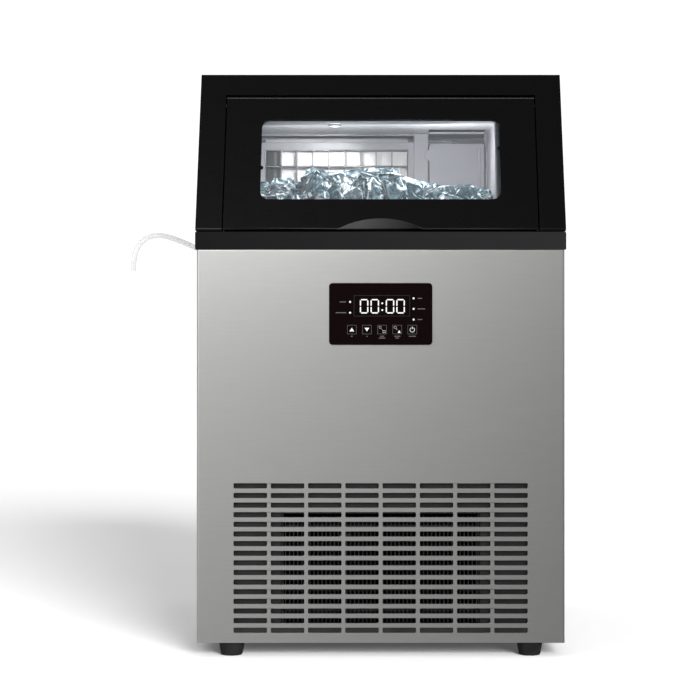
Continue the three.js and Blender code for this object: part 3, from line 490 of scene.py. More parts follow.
# ------------------------------------------------------------------ water tube
# The route of the tube's middle line, from the elbow to the free end: x and z in mm.
TUBE_Y = 194
TUBE_ROUTE = [
    (-171.2, 394.5), (-178, 397.7), (-187, 401.9), (-196, 406.1), (-205, 410.3),
    (-214, 414.5), (-223, 418.5), (-232, 422.3), (-241, 425.9), (-250, 428.8),
    (-259, 430.4), (-267.5, 430.1), (-275.5, 427.2), (-282.3, 421.8), (-287.2, 414.3),
    (-289.8, 405.8), (-290.7, 397), (-290.9, 388.5),
]
TUBE_DIAMETER = 6.35 * MM


def make_tube():
    curve = bpy.data.curves.new("water_tube", "CURVE")
    curve.dimensions = "3D"
    curve.bevel_depth = TUBE_DIAMETER / 2
    curve.bevel_resolution = 6
    curve.use_fill_caps = True
    spline = curve.splines.new("POLY")
    spline.points.add(len(TUBE_ROUTE) - 1)
    for point, (x, z) in zip(spline.points, TUBE_ROUTE):
        point.co = (x * MM, TUBE_Y * MM, z * MM, 1)
    spline.use_smooth = True
    curve.materials.append(MATERIALS["tube"])
    tube = linked("water_tube", curve)
    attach(tube, "cabinet")
    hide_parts("water_line")


# ------------------------------------------------------------------ stage and lights
AMBIENT = 0.58  # light of the room on everything
WHITE = 1.1  # the backdrop as the camera sees it
BEHIND = 0.9  # the backdrop as the machine's edges mirror it


def floor_material():
    """Pale studio floor: white to the eye, dimmer in the reflections on the machine."""
    glow = {"Emission_Color": (1, 1, 1, 1), "Emission_Strength": 0.07}
    material = plain("floor", (1, 1, 1), 0.9, specular=0.0, **glow)
    ray = add_node(material, "LightPath").outputs["Is Glossy Ray"]
    mirrored = remap(material, texture(material, "SeparateXYZ")["X"], -0.3, 0.4, 0.34, 0.06)
    shade = remap(material, ray, 0.0, 1.0, low=0.92, links=[("To Max", mirrored)])
    color = add_node(material, "CombineColor")
    for channel in ("Red", "Green", "Blue"):
        material.node_tree.links.new(shade, color.inputs[channel])
    material.node_tree.links.new(color.outputs["Color"], shader_of(material).inputs["Base Color"])
    return material


def make_floor():
    half = 60
    mesh = bpy.data.meshes.new("floor")
    corners = [(-half, -half, 0), (half, -half, 0), (half, half, 0), (-half, half, 0)]
    mesh.from_pydata(corners, [], [(0, 1, 2, 3)])
    mesh.materials.append(floor_material())
    linked("floor", mesh)


def make_world():
    """White behind the machine, an even grey light on it, and a darker studio in its reflections."""
    world = bpy.data.worlds.new("studio")
    world.use_nodes = True
    bpy.context.scene.world = world
    background = world.node_tree.nodes["Background"]
    background.inputs["Color"].default_value = (1, 1, 1, 1)
    path = add_node(world, "LightPath")
    place = add_node(world, "TexCoord").outputs["Generated"]
    parts = add_node(world, "SeparateXYZ", [("Vector", place)]).outputs
    height = remap(world, parts["Z"], 0.0, 0.7, 0.36, 0.05)
    across = remap(world, parts["X"], -0.9, 0.9, 0.5, 1.3)
    behind = remap(world, parts["Y"], 0.1, 0.5)
    front = add_node(world, "Math", [(0, height), (1, across)], "MULTIPLY").outputs["Value"]
    reflected = add_node(world, "Mix", [("Factor", behind), ("A", front)], B=BEHIND)
    levels = [("Is Glossy Ray", reflected.outputs["Result"]), ("Is Camera Ray", None)]
    strength = AMBIENT
    for ray, level in levels:
        choice = add_node(world, "Mix", [("Factor", path.outputs[ray])])
        for socket, value in (("A", strength), ("B", level or WHITE)):
            if isinstance(value, float):
                choice.inputs[socket].default_value = value
            else:
                world.node_tree.links.new(value, choice.inputs[socket])
        strength = choice.outputs["Result"]
    world.node_tree.links.new(strength, background.inputs["Strength"])


def aimed_light(kind, name, power, direction, at=(0, 0, 0)):
    light = bpy.data.lights.new(name, kind)
    light.energy = power
    made = linked(name, light)
    made.location = at
    made.rotation_euler = Vector(direction).to_track_quat("-Z", "Y").to_euler()
    return made, light


def area_light(name, at, towards, size, power):
    made, light = aimed_light("AREA", name, power, Vector(towards) - Vector(at), at)
    light.shape = "RECTANGLE"
    light.size, light.size_y = size
    return made


def spot_light(name, at, towards, angle, power):
    made, light = aimed_light("SPOT", name, power, Vector(towards) - Vector(at), at)
    light.spot_size = math.radians(angle)
    light.spot_blend = 0.5
    light.shadow_soft_size = 5 * MM
    made.visible_camera = False


def sun_light(name, towards, power, softness):
    made, light = aimed_light("SUN", name, power, towards)
    light.angle = math.radians(softness)
    made.visible_glossy = False


def make_lights():
    sun_light("floor_light", (-0.37, 0.92, -0.38), 4.9, 26)
    key = area_light("key", (-0.6, -1.2, 1.0), (0, -0.2, 0.33), (1.6, 0.7), 18)
    side = area_light("side", (-1.0, -1.7, 0.3), (0, -0.2, 0.15), (0.7, 0.9), 2.4)
    fill = area_light("fill", (-0.12, -2.9, 0.1), (0, -0.2, 0.25), (0.5, 0.5), 0.4)
    edge = area_light("edge", (1.6, -0.35, 0.35), (0, -0.35, 0.35), (0.5, 0.9), 1.1)
    top = area_light("top", (0, 0.3, 1.6), (0, -0.12, 0.57), (1.5, 0.6), 10)
    for light in (key, side, fill, edge, top):
        light.visible_diffuse = False
    wash = area_light("window_wash", (0, -0.1, 0.52), (0.02, 0.08, 0.48), (0.24, 0.02), 0.145)
    glow = area_light("window_glow", (0.05, -0.1, 0.5), (0.155, 0, 0.495), (0.04, 0.02), 0.085)
    for light in (wash, glow):
        light.visible_glossy = False
        light.visible_camera = False
    spot_light("lamp_beam", (-0.06, -0.098, 0.534), (-0.08, 0.075, 0.462), 66, 0.62)


# ------------------------------------------------------------------ cabinet
SLOT_COLUMNS = 8
SLOT_ROWS = 16
SLOT_SIZE = (33.5 * MM, 5 * MM)
SLOT_PITCH = (37.45 * MM, 9.68 * MM)
SLOT_TOP = PANEL_LO.z + 157.9 * MM
SHEET = 1 * MM
FOLD = 2 * MM  # outer radius of the folded side edges
TOP_ROLL = 5 * MM  # radius of the sheet's leaning top edge
TOP_LEAN = 14  # degrees


def slot_outlines():
    for row in range(SLOT_ROWS):
        for column in range(SLOT_COLUMNS):
            x = (column - (SLOT_COLUMNS - 1) / 2) * SLOT_PITCH[0]
            yield rounded_rectangle(x, SLOT_TOP - row * SLOT_PITCH[1], *SLOT_SIZE, 1 * MM, 4)


def flat_sheet(outlines):
    """A flat plate with holes, from closed outlines, as a bmesh that lies between z 0 and SHEET."""
    curve = bpy.data.curves.new("sheet_outline", "CURVE")
    curve.dimensions = "2D"
    curve.fill_mode = "BOTH"
    curve.extrude = SHEET / 2
    for outline in outlines:
        spline = curve.splines.new("POLY")
        spline.points.add(len(outline) - 1)
        spline.use_cyclic_u = True
        for point, (x, y) in zip(spline.points, outline):
            point.co = (x, y, 0, 1)
    holder = bpy.data.objects.new("sheet_outline", curve)
    mesh = bpy.data.meshes.new_from_object(holder)
    bm = bmesh.new()
    bm.from_mesh(mesh)
    bpy.data.objects.remove(holder)
    bpy.data.curves.remove(curve)
    bpy.data.meshes.remove(mesh)
    bmesh.ops.remove_doubles(bm, verts=bm.verts, dist=0.001 * MM)
    bmesh.ops.translate(bm, vec=(0, 0, SHEET / 2), verts=bm.verts)
    return bm


def make_front_panel():
    half = PANEL_HI.x - FOLD
    rolled = TOP_ROLL * math.sin(math.radians(TOP_LEAN))
    top = PANEL_HI.z - rolled
    border = [(-half, PANEL_LO.z), (half, PANEL_LO.z), (half, top), (-half, top)]
    hole_middle = (FACE_LO.z + FACE_HI.z) / 2
    panel_hole = rounded_rectangle(0, hole_middle, 93 * MM, 53 * MM, 1 * MM)
    bm = flat_sheet([border, panel_hole, *slot_outlines()])
    bmesh.ops.transform(bm, matrix=facing_front(PANEL_LO.y + SHEET), verts=bm.verts)
    round_hole_rims(bm, half, top)
    for side in (-1, 1):
        add_fold(bm, side, half)
    add_top_roll(bm, half, top)
    finished("front_panel_shape", bm, "cabinet", "stainless", ["front_panel"], 40)


def round_hole_rims(bm, half, top):
    """Rounds the front rims of the holes and the sheet's lower edge."""
    margin = 0.1 * MM
    rims = []
    for edge in sharp_edges(bm, math.radians(60)):
        ends = [v.co for v in edge.verts]
        on_front = all(abs(p.y - PANEL_LO.y) < margin for p in ends)
        inside = all(abs(p.x) < half - margin and p.z < top - margin for p in ends)
        inside = inside or all(abs(p.z - PANEL_LO.z) < margin for p in ends)
        if on_front and inside:
            rims.append(edge)
    round_edges(bm, rims, 0.25 * MM)


def along_x(start):
    """Stands a drawing of y and z upright, so that its thickness runs along +X from start."""
    return Matrix(((0, 0, 1, start), (1, 0, 0, 0), (0, 1, 0, 0), (0, 0, 0, 1)))


def add_fold(bm, side, half):
    """The side edge of the front sheet, bent back round a small radius."""
    y, back = PANEL_LO.y, PANEL_HI.y
    outer = arc(half, y + FOLD, FOLD, -90, 0, 8)
    inner = arc(half, y + FOLD, FOLD - SHEET, 0, -90, 8)
    outline = [*outer, (half + FOLD, back), (half + FOLD - SHEET, back), *inner]
    mirrored = [(side * x, y) for x, y in outline]
    height = PANEL_HI.z - PANEL_LO.z
    add_prism(bm, mirrored, height, Matrix.Translation((0, 0, PANEL_LO.z)))


def add_top_roll(bm, half, top):
    """The top edge of the front sheet, which leans back a little under the collar."""
    y = PANEL_LO.y
    centre = y + TOP_ROLL
    outer = arc(centre, top, TOP_ROLL, 180, 180 - TOP_LEAN, 6)
    inner = arc(centre, top, TOP_ROLL - SHEET, 180 - TOP_LEAN, 180, 6)
    add_prism(bm, outer + inner, 2 * half, along_x(-half))


def add_screw(bm, at, facing, radius=3.2 * MM):
    """A pan-head screw with a cross recess; facing is the way its head points."""
    turn = Vector(facing).to_track_quat("Z", "Y").to_matrix().to_4x4()
    place = Matrix.Translation(at) @ turn
    rim = radius * 0.94
    head = [(0, 0), (rim, 0), (radius, 0.3 * MM), (radius * 0.9, 1.2 * MM)]
    add_lathe(bm, head + [(radius * 0.55, 1.7 * MM), (0, 1.8 * MM)], place, 24)
    for angle in (0, math.pi / 2):
        turned = place @ Matrix.Translation((0, 0, 1.75 * MM)) @ Matrix.Rotation(angle, 4, "Z")
        slot_size = Matrix.Diagonal((radius, 0.5 * MM, 0.3 * MM, 1))
        bmesh.ops.create_cube(bm, size=1, matrix=turned @ slot_size)


def make_screws():
    bm = bmesh.new()
    back_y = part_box("back_panel")[1].y
    inset = 9 * MM
    for x in (-PANEL_HI.x + inset, -60 * MM, 60 * MM, PANEL_HI.x - inset):
        for z in (PANEL_LO.z + inset, PANEL_HI.z - inset):
            add_screw(bm, (x, back_y, z), (0, 1, 0))
    for side in (-1, 1):
        for z in (150 * MM, 280 * MM):
            add_screw(bm, (side * (PANEL_HI.x - inset), back_y, z), (0, 1, 0))
        for y in (-150 * MM, 0, 150 * MM):
            add_screw(bm, (side * PANEL_HI.x, y, PANEL_LO.z + inset), (side, 0, 0))
    finished("case_screws", bm, "cabinet", "zinc")


# Half of a foot and its stud in section: radius and height, in mm.
FOOT_PROFILE = [
    (0, 0), (9.6, 0), (10.5, 0.3), (11, 1.1), (11.4, 3.4), (11.1, 3.8),
    (11.5, 4.2), (12.9, 12.0), (12.8, 12.7), (12.2, 13.2), (4, 13.2), (4, 26),
    (0, 26),
]


def make_feet():
    profile = [(r * MM, h * MM) for r, h in FOOT_PROFILE]
    for end in ("front", "rear"):
        for side in ("left", "right"):
            node = f"foot_{end}_{side}"
            lo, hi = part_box(node)
            bm = bmesh.new()
            middle = (lo + hi) / 2
            add_lathe(bm, profile, Matrix.Translation((middle.x, middle.y, 0)), 56)
            finished(node + "_shape", bm, "cabinet", "rubber", [node])


# ------------------------------------------------------------------ control panel
DIGIT_Z = 351.9 * MM
DIGIT_HEIGHT = 14.5 * MM
DIGIT_WIDTH = 8.6 * MM
DIGIT_STROKE = 1.25 * MM
SEGMENT_GAP = 0.36 * MM
DIGIT_X = [-16.6 * MM, -5.9 * MM, 9.4 * MM, 20.0 * MM]
COLON_X = 1.6 * MM
PRINT = 0.06 * MM  # thickness of ink and of the lit parts


def add_segment(bm, x0, z0, x1, z1, place):
    """One bar of a digit, pointed at both ends, between two points of its middle line."""
    start, end = Vector((x0, z0)), Vector((x1, z1))
    along = (end - start).normalized()
    across = Vector((-along.y, along.x)) * DIGIT_STROKE / 2
    gap = along * SEGMENT_GAP
    tip = along * DIGIT_STROKE / 2
    a, b = start + gap, end - gap
    outline = [a, a + tip - across, b - tip - across, b, b - tip + across, a + tip + across]
    add_prism(bm, outline, PRINT, place)


def add_zero(bm, x, place):
    """A seven-segment 0: all of its bars but the middle one."""
    w = DIGIT_WIDTH / 2 - DIGIT_STROKE / 2
    h = DIGIT_HEIGHT / 2 - DIGIT_STROKE / 2
    for side in (-1, 1):
        add_segment(bm, x - w, DIGIT_Z + side * h, x + w, DIGIT_Z + side * h, place)
        for half in (0, 1):
            low = DIGIT_Z - h + half * h
            add_segment(bm, x + side * w, low, x + side * w, low + h, place)


def add_outline(bm, cx, cz, width, height, stroke, place):
    """A thin frame line, as four bars."""
    w, h = width / 2, height / 2
    bars = [
        (cx - w, cz + h - stroke, cx + w, cz + h),
        (cx - w, cz - h, cx + w, cz - h + stroke),
        (cx - w, cz - h + stroke, cx - w + stroke, cz + h - stroke),
        (cx + w - stroke, cz - h + stroke, cx + w, cz + h - stroke),
    ]
    for x0, z0, x1, z1 in bars:
        add_prism(bm, [(x0, z0), (x1, z0), (x1, z1), (x0, z1)], PRINT, place)


def make_display():
    place = facing_front(FACE_LO.y)
    digits = bmesh.new()
    for x in DIGIT_X:
        add_zero(digits, x, place)
    for z in (348.1 * MM, 354.9 * MM):
        add_prism(digits, arc(COLON_X, z, 0.95 * MM, 0, 330, 11), PRINT, place)
    finished("display_digits", digits, "cabinet", "digit")
    frame_line = bmesh.new()
    add_outline(frame_line, 1.2 * MM, 352.4 * MM, 56.2 * MM, 20.9 * MM, 0.3 * MM, place)
    finished("display_outline", frame_line, "cabinet", "faint_ink")


# The lights, as x and z in mm, and the lengths in mm of the plain bars that label them.
INDICATORS = [(-30.7, 356.3), (-30.7, 345.5), (33.1, 359.9), (33.1, 349.3), (33.1, 338.6)]
LABEL_LENGTHS = [6.5, 10.5, 4.6, 7.6, 4.6]


def make_indicators():
    place = facing_front(FACE_LO.y)
    lights, labels = bmesh.new(), bmesh.new()
    for (x, z), length in zip(INDICATORS, LABEL_LENGTHS):
        x, z, length = x * MM, z * MM, length * MM
        add_prism(lights, arc(x, z, 1.0 * MM, 0, 345, 23), PRINT, place)
        middle = x + math.copysign(4.0 * MM + length / 2, x)
        add_prism(labels, rounded_rectangle(middle, z, length, 0.9 * MM, 0.3 * MM), PRINT, place)
    finished("indicator_lights", lights, "cabinet", "digit")
    finished("indicator_labels", labels, "cabinet", "dim_ink")


def triangle(cx, cz, width, height):
    return [(cx - width / 2, cz - height / 2), (cx + width / 2, cz - height / 2), (cx, cz + height / 2)]


def ring(bm, cx, cz, radius, stroke, start, end, place):
    outer = arc(cx, cz, radius, start, end, 20)
    inner = arc(cx, cz, radius - stroke, end, start, 20)
    add_prism(bm, outer + inner, PRINT, place)


def stroke_line(bm, x0, z0, x1, z1, width, place):
    start, end = Vector((x0, z0)), Vector((x1, z1))
    across = (end - start).normalized().orthogonal() * width / 2
    add_prism(bm, [start + across, start - across, end - across, end + across], PRINT, place)


def icon_up(bm, x, z, place):
    add_prism(bm, triangle(x, z, 4.8 * MM, 3.6 * MM), PRINT, place)


def icon_down(bm, x, z, place):
    add_prism(bm, triangle(x, z, 4.8 * MM, -3.6 * MM), PRINT, place)


def icon_timer(bm, x, z, place):
    ring(bm, x - 1.9 * MM, z + 2.2 * MM, 1.3 * MM, 0.35 * MM, 0, 350, place)
    stroke_line(bm, x - 0.9 * MM, z + 1.0 * MM, x + 0.9 * MM, z - 1.0 * MM, 0.3 * MM, place)
    add_outline(bm, x + 2.1 * MM, z - 2.1 * MM, 2.8 * MM, 2.6 * MM, 0.5 * MM, place)


def icon_clean(bm, x, z, place):
    ring(bm, x - 1.9 * MM, z + 2.1 * MM, 1.4 * MM, 0.35 * MM, 0, 350, place)
    stroke_line(bm, x - 0.9 * MM, z + 1.0 * MM, x + 0.4 * MM, z - 0.4 * MM, 0.3 * MM, place)


def icon_drop(bm, x, z, place):
    add_prism(bm, triangle(x + 2.0 * MM, z - 1.9 * MM, 3.0 * MM, 2.8 * MM), PRINT, place)


def icon_power(bm, x, z, place):
    ring(bm, x, z - 0.2 * MM, 2.5 * MM, 0.42 * MM, 118, 422, place)
    stroke_line(bm, x, z + 0.6 * MM, x, z + 3.0 * MM, 0.5 * MM, place)


# Each key's icons with their looks, and the lengths in mm of the bars that stand for its label.
KEYS = {
    "up": ([(icon_up, "digit")], [1.8]),
    "down": ([(icon_down, "digit")], [1.4]),
    "timer": ([(icon_timer, "ink")], [4.0, 6.4]),
    "clean": ([(icon_clean, "ink"), (icon_drop, "digit")], [6.2, 3.6]),
    "power": ([(icon_power, "digit")], [7.0]),
}


KEY_OUTLINE = (9.3 * MM, 9.1 * MM, 0.3 * MM)  # width, height and stroke
LABEL_DROP = 6.7 * MM  # from the middle of a key to the middle of its first bar
LABEL_PITCH = 1.8 * MM
LABEL_HEIGHT = 0.9 * MM


def make_keys():
    for name, (icons, label_lines) in KEYS.items():
        node = "key_" + name
        refined(node, 0.15 * MM)
        lo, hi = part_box(node)
        x, z = (lo.x + hi.x) / 2, (lo.z + hi.z) / 2
        place = facing_front(lo.y)
        for draw, look in icons:
            icon = bmesh.new()
            draw(icon, x, z, place)
            finished(f"icon_{name}_{look}", icon, "button_" + name, look)
        outline = bmesh.new()
        on_panel = facing_front(FACE_LO.y)
        add_outline(outline, x, z, *KEY_OUTLINE, on_panel)
        for line, length in enumerate(label_lines):
            line_z = z - LABEL_DROP - line * LABEL_PITCH
            bar = rounded_rectangle(x, line_z, length * MM, LABEL_HEIGHT, LABEL_HEIGHT / 3)
            add_prism(outline, bar, PRINT, on_panel)
        finished(f"outline_{name}", outline, "cabinet", "dim_ink")


# ------------------------------------------------------------------ behind the grille
def make_condenser():
    """Black fin pack with its end plates and tubes."""
    lo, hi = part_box("condenser")
    bm = bmesh.new()
    plate = 1.5 * MM
    for x in (lo.x, hi.x - plate):
        add_box(bm, (x, lo.y, lo.z), (x + plate, hi.y, hi.z), 0.4 * MM)
    pitch = 4.1 * MM
    count = int((hi.x - lo.x - 4 * plate) / pitch)
    bottom, top = lo.z + 16.5 * MM, hi.z - 3 * MM
    for i in range(count + 1):
        x = lo.x + 2 * plate + i * pitch
        add_box(bm, (x, lo.y + 0.8 * MM, bottom), (x + 0.9 * MM, hi.y - 0.8 * MM, top))
    rows = 5
    length = hi.x - lo.x - 3 * plate
    tube = [(0, 0), (3 * MM, 0), (3 * MM, length), (0, length)]
    sideways = Matrix.Rotation(math.pi / 2, 4, "Y")
    for row in range(rows):
        z = bottom + (row + 0.5) * (top - bottom) / rows
        for y in (lo.y + 11 * MM, hi.y - 11 * MM):
            add_lathe(bm, tube, Matrix.Translation((lo.x + 1.5 * plate, y, z)) @ sideways, 12)
    finished("condenser_shape", bm, "cabinet", "fin_black", ["condenser"])


# ------------------------------------------------------------------ back
LOUVRE_COLUMNS = 4
LOUVRE_ROWS = 6
LOUVRE_PITCH = (54 * MM, 20 * MM)
LOUVRE_TOP = 176 * MM  # middle of the top vent
LOUVRE_HALF = 24 * MM
LOUVRE_DEPTH = 5 * MM


def add_louvre(bm, x, y, z):
    """A pressed hood over one vent, closed at its ends and open below."""
    low, rise = z - 3 * MM, 8.5 * MM

    def curve(inset):
        points = arc(0, 0, 1, 90, 0, 8)
        return [(y + (LOUVRE_DEPTH - inset) * a, low + (rise - inset) * b) for a, b in points]

    add_prism(bm, curve(0) + curve(SHEET)[::-1], 2 * LOUVRE_HALF, along_x(x - LOUVRE_HALF))
    for start in (x - LOUVRE_HALF - 0.2 * MM, x + LOUVRE_HALF - SHEET + 0.2 * MM):
        add_prism(bm, curve(0.1 * MM) + [(y, low)], SHEET, along_x(start))


def make_louvres():
    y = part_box("back_panel")[1].y
    bm = bmesh.new()
    for column in range(LOUVRE_COLUMNS):
        for row in range(LOUVRE_ROWS):
            x = (column - (LOUVRE_COLUMNS - 1) / 2) * LOUVRE_PITCH[0]
            add_louvre(bm, x, y, LOUVRE_TOP - row * LOUVRE_PITCH[1])
    finished("back_louvres", bm, "cabinet", "galvanised")


# ------------------------------------------------------------------ hood and door
LAND_LOW = 2.1 * MM  # the upright land along the lower edges, above the hood's bottom
LAND_HIGH = 3.3 * MM


def cut_level(bm, z):
    geometry = bm.verts[:] + bm.edges[:] + bm.faces[:]
    bmesh.ops.bisect_plane(bm, geom=geometry, dist=0.001 * MM, plane_co=(0, 0, z), plane_no=(0, 0, 1))


def on_face(point):
    """Whether a point lies on the plane of the sloping front."""
    return abs(point.y - HOOD_LO.y - (point.z - HOOD_LO.z) * math.tan(SLOPE)) < 0.05 * MM


def undercut_hood(bm):
    """Gives the hood's lower edge an upright land over a shadow gap."""
    low, high = HOOD_LO.z + LAND_LOW, HOOD_LO.z + LAND_HIGH
    land_y = HOOD_LO.y + LAND_HIGH * math.tan(SLOPE)
    margin = 0.05 * MM
    cut_level(bm, low)
    cut_level(bm, high)
    for vert in bm.verts:
        at_front = on_face(vert.co)
        at_bottom = abs(vert.co.z - HOOD_LO.z) < margin
        if at_front and abs(vert.co.z - low) < margin:
            vert.co.y = land_y
        if at_bottom and at_front:
            vert.co.y = land_y + 0.8 * MM
        if at_bottom and abs(abs(vert.co.x) - HOOD_HI.x) < margin:
            vert.co.x -= math.copysign(0.4 * MM, vert.co.x)
        if at_bottom and abs(vert.co.y - HOOD_HI.y) < margin:
            vert.co.y -= 0.4 * MM


def square_door_edge(bm):
    """Gives the door's lower front edge the same upright land."""
    high = HOOD_LO.z + LAND_HIGH
    land_y = HOOD_LO.y + LAND_HIGH * math.tan(SLOPE)
    cut_level(bm, high)
    for vert in bm.verts:
        if on_face(vert.co) and vert.co.z < high - 0.05 * MM:
            vert.co.y = land_y


def steepen_door_top(bm):
    """Makes the chamfer along the door's top edge steeper, so that it catches the light."""
    inwards = Vector((0, math.cos(SLOPE), -math.sin(SLOPE)))
    upwards = Vector((0, math.sin(SLOPE), math.cos(SLOPE)))
    chamfer, margin = 2 * MM, 0.1 * MM
    top = max(v.co.dot(upwards) for v in bm.verts)
    for vert in bm.verts:
        depth = (vert.co - on_slope(0, 0, 0)).dot(inwards)
        if abs(vert.co.dot(upwards) - top) < margin and abs(depth - chamfer) < margin:
            vert.co -= inwards * chamfer / 2


def reshape_door(bm):
    square_door_edge(bm)
    steepen_door_top(bm)


def make_hood_and_door():
    lowest = HOOD_LO.z + LAND_HIGH + 0.1 * MM
    hood = refined("hood_shell", 0.9 * MM, reshape=undercut_hood, lowest=lowest)
    door = refined("door_frame", 0.6 * MM, reshape=reshape_door, lowest=lowest)
    # The gasket in near-black rubber, which paints the shade of the gap under the door.
    refined("door_gasket", 0.3 * MM, "gasket_shade_black")
    collar_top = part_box("top_collar")[1].z
    refined("top_collar", 1.4 * MM, lowest=collar_top - 0.1 * MM)
    paint_grip(door)
    paint_seal(refined("hood_liner", 0.5 * MM))
    for piece in (hood, door):
        paint_edge_highlights(piece)


def make_sill_seal():
    """The black strip along the collar's front, under the closed door, standing also for the shade in
    the gap there.
    """
    bm = bmesh.new()
    collar_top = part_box("top_collar")[1].z
    liner_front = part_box("hood_liner")[0].y
    half = DOOR_HI.x - 1 * MM
    lo = (-half, liner_front - 9 * MM, collar_top)
    add_box(bm, lo, (half, liner_front - 0.4 * MM, DOOR_LO.z - 0.3 * MM), 0.3 * MM)
    finished("sill_seal", bm, "cabinet", "gasket_shade_black")


def paint_seal(liner):
    """Blackens the liner's front-facing faces low along its landing flange, under the door: painted
    shade in the gap there.
    """
    liner.data.materials.append(MATERIALS["gasket_shade_black"])
    for face in liner.data.polygons:
        in_front = face.center.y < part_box("hood_liner")[0].y + 12 * MM
        faces_out = face.normal.y < -0.3
        if in_front and faces_out and face.center.z < HOOD_LO.z + 8 * MM:
            face.material_index = 1


def paint_edge_highlights(piece):
    """Gives the rounded edges a lighter, glossier black than the faces: a painted highlight."""
    piece.data.materials.append(MATERIALS["edge_highlight_black"])
    highlight_slot = len(piece.data.materials) - 1
    edge_width = 1 * MM
    for face in piece.data.polygons:
        corners = [piece.data.vertices[i].co for i in face.vertices]
        longest = max((a - b).length for a in corners for b in corners)
        if face.area < longest * edge_width and face.material_index == 0:
            face.material_index = highlight_slot


def paint_grip(door):
    """Gives the finger recess in the door's lower edge its fine grain, and its painted reflection and
    shade: lighter than the door, darker to the right.
    """
    door.data.materials.append(MATERIALS["grip_painted_light"])
    out = Vector((0, -math.cos(SLOPE), math.sin(SLOPE)))
    corner = on_slope(0, 0, 0)
    for face in door.data.polygons:
        depth = (corner - face.center).dot(out)
        in_reach = abs(face.center.x) < 46 * MM and face.center.z < HOOD_LO.z + 16 * MM
        if in_reach and 0.3 * MM < depth < 8.5 * MM and 0.5 < face.normal.dot(out) < 0.98:
            face.material_index = 1


# ------------------------------------------------------------------ inside the hood
def make_pane_clips():
    """Small black clips that hold the pane at the sides of the window."""
    bm = bmesh.new()
    radius, thickness = 2 * MM, 1.2 * MM
    for x, up in ((121.6, 97), (-121.6, 74)):
        at = on_slope(x * MM, 1.6 * MM, up * MM)
        turn = Matrix.Rotation(math.pi / 2 - SLOPE, 4, "X")
        clip = [(0, 0), (radius * 0.9, 0), (radius, 0.2 * MM), (radius, thickness), (0, thickness)]
        add_lathe(bm, clip, Matrix.Translation(at) @ turn, 24)
    finished("pane_clips", bm, "door", "hood_black")


CELL_X, CELL_Z, STRIP = 17.75 * MM, 18 * MM, 1.2 * MM
SHELVES = 5


def cut_at_shelves(bm):
    """Splits the grid's rims, so that the shelves can differ from the upright strips."""
    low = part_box("evaporator_grid")[0].z
    for row in range(SHELVES):
        cut_level(bm, low + row * CELL_Z)
        cut_level(bm, low + row * CELL_Z + STRIP)


def make_grid():
    """The ice cells in their frame, with painted shade: near black on the shelf rims and undersides,
    grey on the upright rims.
    """
    refined("evaporator_frame", 0.5 * MM, "frame_white_shaded")
    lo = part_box("evaporator_grid")[0]
    grid = refined("evaporator_grid", 0.15 * MM, "bright_nickel", cut_at_shelves)
    for look in ("strip_edge_shaded", "shelf_shade"):
        grid.data.materials.append(MATERIALS[look])
    for face in grid.data.polygons:
        on_shelf = (face.center.z - lo.z) % CELL_Z < STRIP
        on_rim = face.center.y < lo.y + 0.3 * MM
        if face.normal.z < -0.5 or (on_shelf and on_rim):
            face.material_index = 2
        elif on_rim:
            face.material_index = 1


def make_grid_shades():
    """Curved inserts in the grid's first column of cells, in painted shade: dark at the left, paler to
    the right.
    """
    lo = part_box("evaporator_grid")[0]
    width, depth = CELL_X - STRIP - 1 * MM, 15 * MM
    height = CELL_Z - STRIP - 0.8 * MM
    x, front = lo.x + STRIP / 2 + 0.3 * MM, lo.y + 2 * MM
    curve = arc(x + width, front, width, 180, 90, 8)
    outline = [(px, front + (py - front) * depth / width) for px, py in curve]
    outline.append((x, front + depth))
    bm = bmesh.new()
    for row in range(SHELVES - 1):
        z = lo.z + row * CELL_Z + STRIP
        add_prism(bm, outline, height, Matrix.Translation((0, 0, z)))
    finished("grid_shade_inserts", bm, "cabinet", "shade_grey")


def make_side_guard():
    """The white guard to the right of the pump cover, which runs forward towards the doorway."""
    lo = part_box("evaporator_frame")[0]
    bottom, top = 435 * MM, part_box("hood_liner")[1].z - 6 * MM
    front = [(behind_doorway(z), z) for z in (top, bottom)]
    outline = [front[1], (lo.y, bottom), (lo.y, top), front[0]]
    bm = bmesh.new()
    add_prism(bm, outline, 1.2 * MM, along_x(118.6 * MM))
    finished("side_guard", bm, "cabinet", "frame_white_shaded")


def make_lamp():
    """A frosted lens in a thin white bezel."""
    lo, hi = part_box("bin_lamp")
    place = Matrix.Translation(((lo.x + hi.x) / 2, (lo.y + hi.y) / 2, lo.z))
    bm = bmesh.new()
    lens = [(0, 0), (3.4 * MM, 0.2 * MM), (5.0 * MM, 0.9 * MM), (5.4 * MM, 2.4 * MM), (0, 2.4 * MM)]
    add_lathe(bm, lens, place, 36)
    finished("lamp_lens", bm, "cabinet", "lamp")
    bezel = bmesh.new()
    ring_profile = [
        (5.6 * MM, 0.6 * MM),
        (6.6 * MM, 0.4 * MM),
        (7.0 * MM, 1.2 * MM),
        (7.0 * MM, 3.0 * MM),
        (5.6 * MM, 3.0 * MM),
        (5.6 * MM, 0.6 * MM),
    ]
    add_lathe(bezel, ring_profile, place, 36)
    bmesh.ops.remove_doubles(bezel, verts=bezel.verts, dist=0.001 * MM)
    finished("lamp_bezel", bezel, "cabinet", "white_plastic", ["bin_lamp"])


